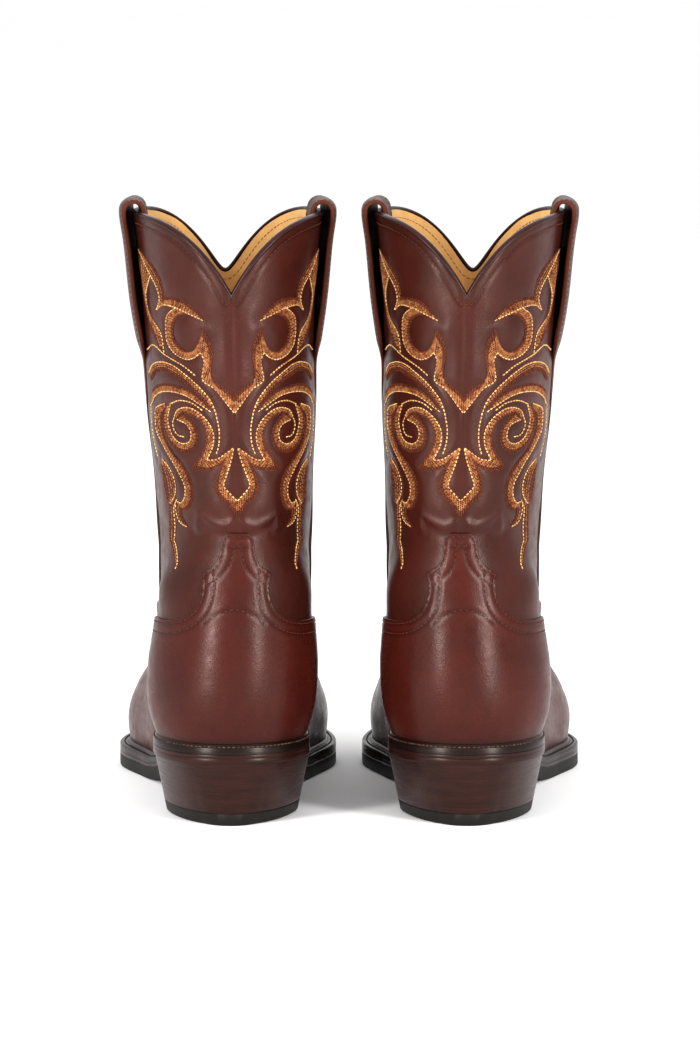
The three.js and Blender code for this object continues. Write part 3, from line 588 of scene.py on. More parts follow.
def inward_of(line, distance, depth):
    """A line of angles and levels, moved along the boot's surface to its right by a distance."""
    points, out = on_surface(line, depth)
    way = unit(np.gradient(points, axis=0))
    right = np.cross(way, out)
    step = 0.5
    ahead_points, _ = on_surface(line + [step, 0], depth)
    above_points, _ = on_surface(line + [0, step], depth)
    round_by, up_by = (ahead_points - points) / step, (above_points - points) / step
    a = np.einsum("ij,ij->i", round_by, round_by)
    b = np.einsum("ij,ij->i", round_by, up_by)
    d = np.einsum("ij,ij->i", up_by, up_by)
    u = np.einsum("ij,ij->i", right, round_by) * distance
    v = np.einsum("ij,ij->i", right, up_by) * distance
    det = a * d - b * b
    moved = line + np.stack([(d * u - b * v) / det, (a * v - b * u) / det], 1)
    forward = np.einsum("ij,ij->i", np.gradient(line, axis=0), np.gradient(moved, axis=0)) > 0
    return moved[forward]


# ------------------------------------------------------------ finishes

def shader(name):
    material = bpy.data.materials.new(name)
    material.use_nodes = True
    return material, material.node_tree, material.node_tree.nodes["Principled BSDF"]


def give(tree, socket, value):
    """Link a socket to another one, or set it."""
    if isinstance(value, bpy.types.NodeSocket):
        tree.links.new(value, socket)
    else:
        socket.default_value = value


def node(tree, kind, settings=None, **inputs):
    """A node with its settings, and its inputs set or linked by name.

    An underscore stands for a space."""
    made = tree.nodes.new("ShaderNode" + kind)
    for key, value in (settings or {}).items():
        setattr(made, key, value)
    for key, value in inputs.items():
        give(tree, made.inputs[key.replace("_", " ")], value)
    return made


def blend(tree, share, low, high):
    """The colour or value between low and high."""
    made = tree.nodes.new("ShaderNodeMix")
    made.data_type = "RGBA"
    for socket, value in ((0, share), (6, low), (7, high)):
        give(tree, made.inputs[socket], value)
    return made.outputs[2]


def spread(tree, value, low, high, to_low=0.0, to_high=1.0):
    """A value between low and high, spread to lie between to_low and to_high."""
    made = node(tree, "MapRange", Value=value, From_Min=low, From_Max=high,
                To_Min=to_low, To_Max=to_high)
    return made.outputs["Result"]


def noise(tree, where, scale, detail=3.0, rough=0.55, twist=0.0):
    made = node(tree, "TexNoise", Vector=where, Scale=scale, Detail=detail, Roughness=rough,
                Distortion=twist)
    return made.outputs["Fac"]


def object_place(tree, stretch=(1, 1, 1)):
    where = node(tree, "TexCoord").outputs["Object"]
    return node(tree, "Mapping", Vector=where, Scale=stretch).outputs["Vector"]


def tint(colour, factor):
    return (*[min(1, channel * factor) for channel in colour[:3]], 1)


def leather_finish(name, colour, gloss=0.32, grain=1.0, dark=0.38, glow=1.35):
    """Smooth calf: cloudy colour, fine pores and wrinkles, and darker where the point attribute asks: painted
    shade in seams, along stitch rows and under edges, and darker cut edges.
    """
    material, tree, bsdf = shader(name)
    where = object_place(tree)
    clouds = noise(tree, where, 22, 5, 0.6, 0.6)
    mottle = noise(tree, where, 170, 4, 0.65)
    streaks = noise(tree, object_place(tree, (1, 1, 0.25)), 60, 4, 0.6)
    shade = blend(tree, spread(tree, clouds, 0.35, 0.68), tint(colour, 0.82), tint(colour, glow))
    shade = blend(tree, spread(tree, mottle, 0.42, 0.75, 0, 0.4), shade, tint(colour, 0.7))
    shade = blend(tree, spread(tree, streaks, 0.5, 0.8, 0, 0.35), shade, tint(colour, glow * 1.1))
    # Painted shade and darker cut edges, read from the point attribute.
    burnish_and_shade_share = node(tree, "Attribute", {"attribute_name": "burnish"}).outputs["Fac"]
    shade = blend(tree, burnish_and_shade_share, shade, tint(colour, dark))
    tree.links.new(shade, bsdf.inputs["Base Color"])
    pores = node(tree, "TexVoronoi", {"feature": "SMOOTH_F1"}, Vector=where, Scale=1150, Smoothness=0.4)
    wrinkles = noise(tree, where, 700, 4, 0.6, 0.8)
    folds = noise(tree, where, 150, 3, 0.5, 1.2)
    rough = spread(tree, mottle, 0.3, 0.75, gloss - 0.05, gloss + 0.12)
    tree.links.new(rough, bsdf.inputs["Roughness"])
    first = node(tree, "Bump", Strength=0.13 * grain, Distance=0.0003, Height=pores.outputs["Distance"])
    second = node(tree, "Bump", Strength=0.11 * grain, Distance=0.0003, Height=wrinkles,
                  Normal=first.outputs["Normal"])
    third = node(tree, "Bump", Strength=0.07 * grain, Distance=0.001, Height=folds,
                 Normal=second.outputs["Normal"])
    tree.links.new(third.outputs["Normal"], bsdf.inputs["Normal"])
    bsdf.inputs["Specular IOR Level"].default_value = 0.27
    bsdf.inputs["Specular Tint"].default_value = (1, 0.86, 0.8, 1)
    return material


def thread_finish(name, colour, other, fuzz=0.6):
    """Twisted thread, whose colour changes from stitch to stitch."""
    material, tree, bsdf = shader(name)
    where = object_place(tree)
    change = noise(tree, where, 520, 2, 0.5)
    slow = noise(tree, where, 90, 2, 0.5)
    shade = blend(tree, spread(tree, change, 0.38, 0.64), colour, other)
    shade = blend(tree, spread(tree, slow, 0.4, 0.7, 0, 0.5), shade, tint(colour, 0.75))
    tree.links.new(shade, bsdf.inputs["Base Color"])
    twist = node(tree, "TexWave", {"wave_type": "BANDS", "bands_direction": "DIAGONAL"}, Vector=where,
                 Scale=1400, Distortion=0.5)
    bump = node(tree, "Bump", Strength=0.4, Distance=0.0001, Height=twist.outputs["Fac"])
    tree.links.new(bump.outputs["Normal"], bsdf.inputs["Normal"])
    bsdf.inputs["Roughness"].default_value = fuzz
    bsdf.inputs["Specular IOR Level"].default_value = 0.2
    return material


def stacked_finish(name, colour, line, layers=0.55):
    """Stacked leather, sanded and waxed: fine level lines where its layers meet."""
    material, tree, bsdf = shader(name)
    fine = noise(tree, object_place(tree, (1, 1, 26)), 42, 4, 0.7)
    broad = noise(tree, object_place(tree, (1, 1, 9)), 26, 3, 0.6, 0.4)
    clouds = noise(tree, object_place(tree), 30, 3, 0.5)
    shade = blend(tree, spread(tree, broad, 0.35, 0.7), tint(colour, 0.7), tint(colour, 1.2))
    shade = blend(tree, spread(tree, fine, 0.55, 0.78, 0, layers), shade, line)
    shade = blend(tree, spread(tree, clouds, 0.4, 0.75, 0, 0.5), shade, tint(colour, 0.6))
    tree.links.new(shade, bsdf.inputs["Base Color"])
    tree.links.new(spread(tree, fine, 0.3, 0.8, 0.22, 0.4), bsdf.inputs["Roughness"])
    bump = node(tree, "Bump", Strength=0.12, Distance=0.0004, Height=fine)
    tree.links.new(bump.outputs["Normal"], bsdf.inputs["Normal"])
    bsdf.inputs["Specular IOR Level"].default_value = 0.26
    bsdf.inputs["Specular Tint"].default_value = (1, 0.86, 0.8, 1)
    return material


def plain_finish(name, colour, rough, grain_scale, grain, metal=0.0, other=0.7):
    """Rubber, cork, board or steel: a speckled colour with a fine grain."""
    material, tree, bsdf = shader(name)
    where = object_place(tree)
    speckle = noise(tree, where, grain_scale, 4, 0.65)
    shade = blend(tree, spread(tree, speckle, 0.35, 0.7), tint(colour, other), colour)
    tree.links.new(shade, bsdf.inputs["Base Color"])
    tree.links.new(spread(tree, speckle, 0.3, 0.75, rough - 0.06, rough + 0.08), bsdf.inputs["Roughness"])
    bump = node(tree, "Bump", Strength=grain, Distance=0.0004, Height=speckle)
    tree.links.new(bump.outputs["Normal"], bsdf.inputs["Normal"])
    bsdf.inputs["Metallic"].default_value = metal
    bsdf.inputs["Specular IOR Level"].default_value = 0.5 if metal else 0.2
    return material


# ------------------------------------------------------------ settings

def linear(red, green, blue):
    """A colour given as 0 to 255, as light."""
    return tuple((c / 255 / 12.92 if c <= 10 else ((c / 255 + 0.055) / 1.055) ** 2.4)
                 for c in (red, green, blue))


def paint(red, green, blue):
    return (*linear(red, green, blue), 1)


def colour_setting(name, description, red, green, blue):
    return FloatVectorProperty(name=name, description=description, subtype="COLOR", size=3, min=0, max=1,
                               default=linear(red, green, blue))


def length_setting(name, description, default):
    return FloatProperty(name=name, description=description, subtype="DISTANCE", unit="LENGTH", min=0,
                         default=default * MM, precision=5)


class BootColours(bpy.types.PropertyGroup):
    shaft: colour_setting("Shaft", "Leather of the shaft panels", 57, 22, 15)
    foot: colour_setting("Foot", "Leather of the vamp and the counter", 61, 20, 13)
    strap: colour_setting("Straps", "Leather of the pull straps", 58, 27, 21)
    trim: colour_setting("Trim", "Rolled edges and piping", 44, 20, 18)
    lining: colour_setting("Lining", "Leather inside the shaft", 216, 174, 114)
    heel: colour_setting("Heel", "Stacked leather of the heel and the sole's edge", 42, 19, 15)
    rubber: colour_setting("Rubber", "Tread and heel cap", 20, 16, 15)
    cream: colour_setting("Light thread", "Edge rows of the embroidery", 216, 182, 126)
    gold: colour_setting("Gold thread", "Filling of the embroidery", 158, 108, 66)
    rust: colour_setting("Rust thread", "Outer rows of the embroidery", 104, 52, 29)
    seam: colour_setting("Seam thread", "Rows along the seams", 78, 34, 20)


class BootSizes(bpy.types.PropertyGroup):
    stitch: length_setting("Stitch", "Length of one seam stitch", 2.1)
    pitch: length_setting("Stitch pitch", "From one seam stitch to the next", 2.7)
    seam_thread: length_setting("Seam thread", "Thickness of the seams' thread", 0.6)
    show_thread: length_setting("Embroidery thread", "Thickness of the embroidery's thread", 0.7)
    fill_stitch: length_setting("Filling stitch", "Length of one stitch of the filling", 1.5)
    bead: length_setting("Rolled edge", "Width of the rolled edge along the top line", 3.6)


def finish_of(name, make, *values, **more):
    """The material of that name, made once."""
    name = "finish_" + name
    return bpy.data.materials.get(name) or make(name, *values, **more)


def colours():
    return bpy.context.scene.boot_colours


def sizes():
    return bpy.context.scene.boot_sizes


def rgba(colour):
    return (*colour, 1)


def seam_thread_finish():
    seam = rgba(colours().seam)
    return finish_of("seam_thread", thread_finish, seam, tint(seam, 1.6))


def seam_rows(name, rows, finish=None, radius=None):
    """Rows of seam stitches, each a (points, normals) pair, as one piece."""
    s = sizes()
    radius = radius or s.seam_thread / MM / 2
    parts = [thread(resample(line, spacing=0.5), resample_with(line, out, 0.5), s.pitch / MM, s.stitch / MM,
                    radius, 0.05, 40 + k) for k, (line, out) in enumerate(rows) if len(line) > 2]
    points, faces = joined(parts)
    add_pair(name, points, faces, finish or seam_thread_finish())


def resample_with(line, other, spacing):
    """Values that go with a line's points, at the same places as resample gives."""
    both = np.concatenate([line, other], 1)
    length = np.r_[0, np.cumsum(np.linalg.norm(np.diff(line, axis=0), axis=1))]
    count = max(2, int(round(length[-1] / spacing)) + 1)
    at = np.linspace(0, length[-1], count)
    return np.stack([np.interp(at, length, both[:, 3 + k]) for k in range(3)], 1)


# ------------------------------------------------------------ the embroidery

# Each motif is one half of a scroll pattern, drawn as seen from behind: distance from the
# centre line and height above the floor. A band runs between its light and its dark edge.
BANDS = {
    "flame": ([(44.5, 280), (39, 268.5), (35.5, 262), (34.5, 257), (36, 251.5)],
              [(44.5, 280), (38.5, 273.5), (34, 266), (32.5, 258.5), (33, 254.5)]),
    "flame_back": ([(38.8, 268.5), (41, 257), (39, 248), (34, 240), (32.5, 230.5)],
                   [(44.5, 280), (42.5, 264.5), (41.5, 255), (40, 247), (35.5, 234.5), (32.5, 230.5)]),
    "hook": ([(36, 251.5), (33, 254.5), (26.5, 254), (20.5, 251.5), (13.5, 248.5)],
             [(32.5, 258), (28, 258.5), (23, 257.5), (18.5, 254), (13.5, 248.5)]),
    "crescent": ([(26.5, 254), (30.5, 250), (31.5, 243), (30.5, 235.5), (27, 231), (21.5, 228.8),
                  (17.5, 230.5), (15, 233)],
                 [(20.5, 251.5), (25, 250), (27.5, 245.5), (27.7, 240), (25.5, 235), (21.5, 232.5),
                  (17.5, 234), (14, 244)]),
    "branch": ([(15.5, 233), (13.6, 229), (14.2, 224), (14.5, 219), (9, 215), (5, 210), (0, 203)],
               [(14, 244), (10.5, 238), (9.5, 232), (10.5, 226), (10.5, 219.5), (4, 215), (0, 210.5)]),
    "upper_arc": ([(39.5, 219), (37.5, 224), (34, 226), (29.5, 225.5), (24.5, 222.5), (19.5, 218.5),
                   (15, 214), (11.5, 209.5), (9, 203.5)],
                  [(38.5, 215.5), (36, 220.5), (32.5, 222), (29, 220.5), (23, 217.5), (18.5, 213.5),
                   (14, 208.5), (9, 203.5)]),
    "lower_arc": ([(38.5, 203.5), (37, 208), (34, 211), (29, 212), (23, 211), (18.5, 208.5), (11, 203.5)],
                  [(38, 210.5), (36, 213.5), (32, 215.5), (26.5, 215), (20.5, 213), (16, 209.5),
                   (11, 203.5)]),
    "stem": ([(32.5, 205.5), (36.5, 202.5), (37, 197), (36.5, 190), (34, 183.5), (28.5, 173.5),
              (25, 165), (25.5, 160), (28, 156.5), (29.5, 157)],
             [(32, 204), (34, 198), (33.5, 188.5), (30.5, 181.5), (26, 176), (23, 171), (21.5, 165),
              (22.5, 158), (25.5, 154), (29, 153.5)]),
    "stem_tail": ([(30.5, 155.5), (30.5, 150.5), (29, 146.5), (26, 145)],
                  [(28.5, 154), (28, 149), (26, 145)]),
    "scroll": ([(30, 205.5), (31.5, 197.5), (30.5, 192), (28.5, 188), (25.5, 186.5), (22, 188),
                (21, 192), (22.5, 196), (27.5, 198.5)],
               [(32, 204), (34, 197), (31.5, 187), (28.5, 183.5), (24.5, 182.5), (20, 184.5),
                (18, 189), (18.5, 194.5), (23.5, 202)]),
    "arm": ([(28.5, 199.5), (27, 203), (23.5, 204.8), (20, 204.5), (16.5, 202.5), (13, 199),
             (10.5, 194), (10.5, 188), (14, 179.5)],
            [(27.5, 198.5), (23.5, 202), (20, 201.2), (16.5, 199), (14, 194.5), (13.7, 190),
             (14.7, 185.5), (17.5, 180.5), (21, 175.5)]),
    "wing": ([(14, 179.5), (9.5, 180), (5, 183), (1, 186)],
             [(21, 175.5), (18, 174.2), (13.5, 174.5), (9.5, 176), (5, 181)]),
    "diamond": ([(1, 186), (2.5, 179.5), (5, 172), (6.3, 167), (3.5, 163.5), (0, 159.5)],
                [(5, 181), (8.5, 174.5), (10.5, 166.5), (9.5, 162.5), (5, 158.5), (0, 152)]),
    "leaf": ([(35.5, 177), (32.5, 174), (29.5, 164.5), (30.5, 159.5), (33, 155)],
             [(36, 174), (35.2, 168), (34.5, 162), (34, 155)]),
    "leaf_tail": ([(29.5, 158), (31.3, 154), (31.3, 145.5), (30.8, 138), (28.5, 123.5)],
                  [(33.5, 156.5), (33.5, 147.5), (33.3, 139), (31.5, 130), (28.5, 123.5)]),
}
ROWS = {
    "small_arch": [(40.5, 230), (38, 233.5), (32.5, 230), (23, 225), (18, 221)],
    "arc_tail": [(9, 203.5), (7.5, 194), (8.2, 186.5), (9.5, 182.5)],
    "border": [(39, 203.5), (39, 190), (37.5, 177)],
    "inner_arc": [(30.5, 205.5), (26, 208), (20.5, 207.5), (15, 204)],
    "eye": [(28.5, 199.5), (29.5, 196), (27.5, 190.5), (24.5, 190)],
}
# A ridge that the stiffener underneath presses into the back of the shaft.
WING_RIDGE = [(21, 146), (20.4, 149.5), (19.5, 152.5), (14, 149), (8, 147.3), (3.5, 148.8), (0, 151.5)]


def to_shaft(line, front=False):
    """A line seen from behind, as angles and levels on the back panel, or on the front one."""
    level = line[:, 1] - HEEL_SEAT + 1.2
    half = np.interp(level, LEVELS[5:], [46, *[ring[3][0] for ring in RINGS[6:]]])
    reach = np.clip(line[:, 0] / half, -0.996, 0.996)
    share = (1 - np.sqrt(1 - reach ** 2)) / 2
    back = through(LEVELS, [ring[1] for ring in RINGS], level)
    end = through(LEVELS, [ring[2] for ring in RINGS], level)
    seam = (SEAM_Y - back) / (end - back)
    width = seam if not front else 1 - seam
    angle = np.degrees(np.arccos(np.clip(1 - share / width, -0.02, 1))) * np.sign(line[:, 0] + 1e-9)
    return np.stack([180 - angle if front else angle, level], 1)


def band_edges():
    """(light edge, dark edge) of every band, at matching places, and every single row."""
    bands = []
    for light, dark in BANDS.values():
        rough = max(len(curve(light, spacing=0.5)), len(curve(dark, spacing=0.5)))
        bands.append((curve(light, count=rough), curve(dark, count=rough)))
    return bands, [curve(row, spacing=0.5) for row in ROWS.values()]


def mirrored(line):
    return line * [-1, 1]


_marks = {}


def embroidery_marks(front):
    """A search tree of the middle lines of the bands and the rows, which the leather sinks under."""
    if front not in _marks:
        bands, rows = band_edges()
        lines = [mix(a, b, share) for a, b in bands for share in (0.2, 0.5, 0.8)] + rows
        both = [line for one in lines for line in (one[::2], mirrored(one)[::2])]
        _marks[front] = tree_of(surface(*to_shaft(np.concatenate(both), front).T)[0])
    return _marks[front]


def padding(points, level, front, low, full):
    """The leather sinks under the embroidery and stands up round it, from the level full upwards."""
    near = distance_to(points, embroidery_marks(front))
    padded = smooth(low, full, level) * smooth(250, 225, level)
    return 0.55 * (1 - np.exp(-(near / 4.5) ** 2)) * padded - 0.1 * np.exp(-(near / 2.0) ** 2)


def back_relief(angle, level):
    """The back panel's shape: padded leather round the embroidery, a centre crease and the pressed ridge."""
    points = spot(angle, level)
    rise = padding(points, level, False, 104, 120)
    x = points[:, 0] - spot(0 * angle, level)[:, 0]
    rise -= 0.32 * np.exp(-(x / 1.0) ** 2) - 0.25 * np.exp(-((np.abs(x) - 3.4) / 2.4) ** 2)
    ridge = curve(WING_RIDGE, spacing=0.7, corners=(2,))
    line = np.concatenate([to_shaft(ridge), to_shaft(mirrored(ridge))])
    far = distance_to(points, [spot(*line.T)])
    below = smooth(113, 104, level)
    rise += 0.75 * np.exp(-(far / 2.0) ** 2) - 0.35 * np.exp(-((far - 5) / 2.5) ** 2) * below
    waves = ripple(points, 34, 11) * 0.28 + ripple(points * [1, 1, 0.45], 15, 12) * 0.1
    return rise + waves * smooth(50, 90, level)


def front_relief(angle, level):
    """The front panel's shape: the same padding, and folds where the ankle bends."""
    points = spot(angle, level)
    rise = padding(points, level, True, 112, 125)
    bend = smooth(84, 96, level) * smooth(150, 115, level)
    folds = np.sin((level - 8 * np.cos(np.radians(angle))) / 7.5) * bend * 0.35
    waves = ripple(points, 34, 21) * 0.28 + ripple(points * [1, 1, 0.45], 15, 22) * 0.1
    return rise + folds + waves


# ------------------------------------------------------------ shaft

def shaft_outline(low, high, foot):
    """Outline of a shaft panel between two angles, above the line foot(angle)."""
    turn = np.linspace(low, high, 400)
    bottom = np.stack([turn, foot(turn)], 1)
    upper = np.stack([turn, top_line(turn)], 1)[::-1]
    sides = [np.stack([np.full(80, upper[k, 0]), np.linspace(a, b, 80)], 1)
             for k, a, b in ((0, bottom[-1, 1], upper[0, 1]), (-1, upper[-1, 1], bottom[0, 1]))]
    return np.concatenate([bottom, sides[0][1:-1], upper, sides[1][1:-1]])


def front_foot(angle):
    return through([90, 103, 124, 140, 180], [50, 64, 77, 81, 84], np.abs(half_turn(angle)))


def seam_and_top_shade(angle, level):
    """Painted shade: the leather is darker beside the side seams, where the piping and straps stand, and
    under the rolled top edge.
    """
    a = np.abs(half_turn(angle))
    side = 0.5 * np.exp(-((a - 90) / 7) ** 2)
    under = 0.3 * np.exp(-((top_line(angle) - level) / 3.0) ** 2)
    return side + under


def top_rows(low, high, drop, depth, relief=None):
    """A stitch row a distance below the top line."""
    turn = np.linspace(low, high, 500)
    line = np.stack([turn, top_line(turn)], 1)
    moved = inward_of(line, drop, depth)
    return on_surface(moved, depth, relief)


def build_panels():
    """Shaft panels: the two halves of the leg."""
    skin_finish = finish_of("shaft_calf", leather_finish, rgba(colours().shaft))
    for name, low, high, foot, relief in (
            ("back_shaft_panel", -90 + SEAM_HALF, 90 - SEAM_HALF, lambda a: 50 + 0 * a, back_relief),
            ("front_shaft_panel", 90 + SEAM_HALF, 270 - SEAM_HALF, front_foot, front_relief)):
        rows = top_rows(low, high, TOP_ROW, 0)
        spacing = 1.25
        # The panels carry painted shade beside their side seams and under their top edge.
        points, faces, dark = leather(shaft_outline(low, high, foot), 0, LEATHER, 1.0, spacing,
                                      relief=relief, lines=[rows[0]], dark=seam_and_top_shade)
        add_pair(f"{name}_leather", points, faces, skin_finish, [name], dark)
        line, out = top_rows(low + 1, high - 1, TOP_ROW, -0.12, relief)
        seam_rows(f"{name}_top_stitches", [(line, out)])
    turn = np.linspace(0, 1, 30)[:, None]
    rows = []
    for a, b in (((0, 256.5), (5.5, 251.5)), ((0, 250.5), (3.2, 248.2))):
        for flip in (1, -1):
            line = to_shaft(mix(np.array(a, float), np.array(b, float), turn) * [flip, 1])
            rows.append(on_surface(line, -0.05, back_relief))
    crease = np.stack([np.zeros(300), np.linspace(TAB_RISE + 3, 208, 300)], 1)
    rows.append(on_surface(crease, -0.2, back_relief))
    seam_rows("back_centre_stitches", rows, radius=FINE_THREAD)


def lining_relief(angle, level):
    """Fine creases down the lining, and slow waves."""
    points = spot(angle, level)
    creases = np.sin(points[:, 1] / 3.1 + 1.5 * np.sin(level / 31)) * 0.12
    return creases * smooth(252, 225, level) + ripple(points, 24, 5) * 0.2


def build_linings():
    """Linings of the shaft, with a stitch row under their top edge."""
    made = finish_of("lining_calf", leather_finish, rgba(colours().lining), gloss=0.5, grain=0.7, dark=0.55,
                     glow=1.15)
    for name, low, high, foot in (
            ("back_lining", -89.6, 89.6, lambda a: 1 + 0 * a),
            ("front_shaft_lining", 90.4, 269.6, front_foot)):
        outline = shaft_outline(low, high, foot)
        points, faces, dark = leather(outline, LINING_FACE, LINING, 1.0, 2.6, edge=0.3,
                                      relief=lining_relief)
        add_pair(f"{name}_leather", points, faces, made, [name], dark)
        line, out = top_rows(low + 1, high - 1, TOP_ROW, LINING_BACK - 0.05, lining_relief)
        tan = paint(172, 122, 72)
        sewn = finish_of("lining_thread", thread_finish, tan, tan)
        seam_rows(f"{name}_stitches", [(line, -out)], sewn, FINE_THREAD)


def build_foot_linings():
    """The vamp's lining and the counter's stiffener."""
    calf = finish_of("lining_calf", leather_finish, rgba(colours().lining))
    board = finish_of("fibre_board", plain_finish, paint(176, 150, 112), 0.85, 500, 0.4)
    turn = np.linspace(90.4, 269.6, 300)
    outline = np.concatenate([np.stack([turn, np.full(300, 1.0)], 1),
                              np.stack([turn, front_foot(turn) - 0.5], 1)[::-1]])
    points, faces, dark = leather(outline, LINING_FACE, LINING, 2.0, 3.0, edge=0.3)
    add_pair("vamp_lining_leather", points, faces, calf, ["vamp_lining"], dark)
    turn = np.linspace(-85, 85, 200)
    outline = np.concatenate([np.stack([turn, np.full(200, 1.0)], 1),
                              np.stack([turn, np.full(200, STIFFENER_TOP)], 1)[::-1]])
    points, faces, dark = leather(outline, 0.05, STIFFENER, 1.0, 3.0, edge=0.3)
    add_pair("counter_stiffener_board", points, faces, board,
             ["counter_stiffener"], dark)


def build_beading():
    """The rolled strip over the top edge, with painted shade on its underside."""
    made = finish_of("trim_calf", leather_finish, rgba(colours().trim), gloss=0.28, grain=0.5)
    wide = sizes().bead / MM / 2
    for name, low, high in (("back_top_beading", -90, 90), ("front_top_beading", 90, 270)):
        turn = np.linspace(low, high, 361)
        line = np.stack([turn, top_line(turn) + 0.3], 1)
        centre, out = on_surface(line, (LINING_BACK + 0.1) / 2)
        way = unit(np.gradient(centre, axis=0))
        up = unit(np.cross(way, out))
        up *= np.sign(up[:, 2:])
        points, faces = swept(centre, out, up, oval(wide, 1.25, 16))
        # Painted shade: the underside of the roll is darkened.
        dark = np.tile(np.where(oval(1, 1, 16)[:, 1] < -0.2, 0.9, 0.0), len(turn))
        add_pair(f"{name}_roll", points, faces, made, [name], dark)


def build_embroidery():
    """The stitched scrolls on the four shaft panels, over a sheet of painted shade."""
    c, s = colours(), sizes()
    cream = finish_of("cream_thread", thread_finish, rgba(c.cream), tint(rgba(c.gold), 1.25))
    gold = finish_of("gold_thread", thread_finish, rgba(c.gold), rgba(c.rust))
    rust = finish_of("rust_thread", thread_finish, rgba(c.rust), tint(rgba(c.rust), 0.55))
    # Painted shade: darker copies of the rust thread, for a sheet under the filling that darkens the gaps
    # between stitches.
    gap_shade_finish = finish_of("thread_bed", thread_finish, tint(rgba(c.rust), 0.62), tint(rgba(c.rust), 0.34))
    radius, length = s.show_thread / MM / 2, s.fill_stitch / MM
    bands, rows = band_edges()
    spacing = 0.95
    for label, front, relief in (("back", False, back_relief), ("front", True, front_relief)):
        parts = {"cream": [], "gold": [], "rust": [], "bed": []}
        jobs, gap_shade_strips = [], []

        def sew(*job):
            """Note a row: its kind, line, height, pitch, stitch, radius and unevenness."""
            jobs.append(job)

        for flip in (lambda line: line, mirrored):
            for light, dark in bands:
                light, dark = flip(light), flip(dark)
                gap = np.linalg.norm(light - dark, axis=1)
                count = max(2, int(np.percentile(gap, 85) / spacing))
                # Strips of painted shade under each band.
                gap_shade_strips.append([(mix(light, dark, share)[::2], 0.02 + 0.16 * math.sin(math.pi * share))
                             for share in np.linspace(0, 1, 6)] + [(mix(light, dark, 0.5)[::2], -0.5)])
                for k in range(1, count):
                    share = k / count
                    line = mix(light, dark, share)
                    room = gap / count > 0.42 if k % 2 else gap / count > 0.2
                    kind = "rust" if share > 0.72 else "gold"
                    if room.sum() > 6:
                        run = line[np.argmax(room):len(room) - np.argmax(room[::-1])]
                        sew(kind, run, 0.28, length * 1.12, length, radius, 0.14)
                sew("cream", light, 0.2, 1.9, 1.6, radius, 0.03)
                sew("rust", dark, 0.1, 1.7, 1.4, radius, 0.16)
            for row in rows:
                sew("cream", flip(row), 0.12, 1.9, 1.6, radius, 0.03)
        placed = on_shaft([(job[1], job[2]) for job in jobs], front, relief)
        for k, ((place, out), job) in enumerate(zip(placed, jobs)):
            parts[job[0]].append(thread(place, out, *job[3:], 100 + k))
        placed = on_shaft([strip for bed in gap_shade_strips for strip in bed], front, relief)
        for k in range(0, len(placed), 7):
            parts["bed"].append(skin(np.stack([place for place, _ in placed[k:k + 7]], 1)))
        for kind, made in (("cream", cream), ("gold", gold), ("rust", rust), ("bed", gap_shade_finish)):
            points, faces = joined(parts[kind])
            add_pair(f"{label}_scroll_{kind}", points, faces, made)


def on_shaft(strips, front, relief):
    """(points, normals) of several lines seen from behind, each with its height over the leather."""
    line = np.concatenate([to_shaft(strip, front) for strip, _ in strips])
    height = np.concatenate([np.full(len(strip), float(rise)) for strip, rise in strips])
    place, out = surface(line[:, 0], line[:, 1], height + relief(line[:, 0], line[:, 1]))
    ends = np.cumsum([len(strip) for strip, _ in strips])[:-1]
    return list(zip(np.split(place, ends), np.split(out, ends)))


def build_piping():
    """Piping in the side seams, from the yoke to the straps' tails."""
    made = finish_of("trim_calf", leather_finish, rgba(colours().trim), gloss=0.28, grain=0.5)
    levels = np.linspace(YOKE - 1, SHAFT_RISE - 60, 160)
    for name, angle in (("outer_side_piping", 90), ("inner_side_piping", -90)):
        centre, out = surface(np.full(len(levels), float(angle)), levels, 0.1)
        way = unit(np.gradient(centre, axis=0))
        points, faces = swept(centre, unit(np.cross(way, out)), out, oval(0.9, 0.9, 10))
        add_pair(f"{name}_roll", points, faces, made, [name],
                 np.full(len(points), 0.25))


# ------------------------------------------------------------ straps

STRAP_WIDTH, STRAP_TAIL = 36.0, 18.0
STRAP_THICK = 2.2
STRAP_STAND, STRAP_LOOP = 5.6, 6.5


def strap_path():
    """Depth off the shaft, level, width and half thickness of a strap, from its tail over the top and in."""
    inner = -LEATHER - 0.45 - LINING - 0.45 - STRAP_THICK / 2
    radius, middle = (STRAP_STAND - inner) / 2, (STRAP_STAND + inner) / 2
    turn = SHAFT_RISE + STRAP_LOOP - radius
    tail, full = SHAFT_RISE - 96, STRAP_THICK / 2
    stops = [(0.45, tail, 5, 0.4), (0.5, tail + 3, 12, 0.45), (0.55, tail + 9, STRAP_TAIL, 0.5),
             (0.8, tail + 22, STRAP_TAIL + 1, 0.6), (1.7, tail + 28, STRAP_WIDTH - 8, 0.85),
             (3.0, tail + 34, STRAP_WIDTH, full),
             (mix(full, STRAP_STAND, 0.85), tail + 52, STRAP_WIDTH, full),
             (STRAP_STAND - 0.2, turn - 14, STRAP_WIDTH, full)]
    for k in range(9):
        a = math.pi * k / 8
        stops.append((middle + radius * math.cos(a), turn + radius * math.sin(a), STRAP_WIDTH, full))
    stops += [(inner, turn - 16, STRAP_WIDTH, full), (inner, turn - 48, STRAP_WIDTH, full)]
    return curve(stops, spacing=1.2)


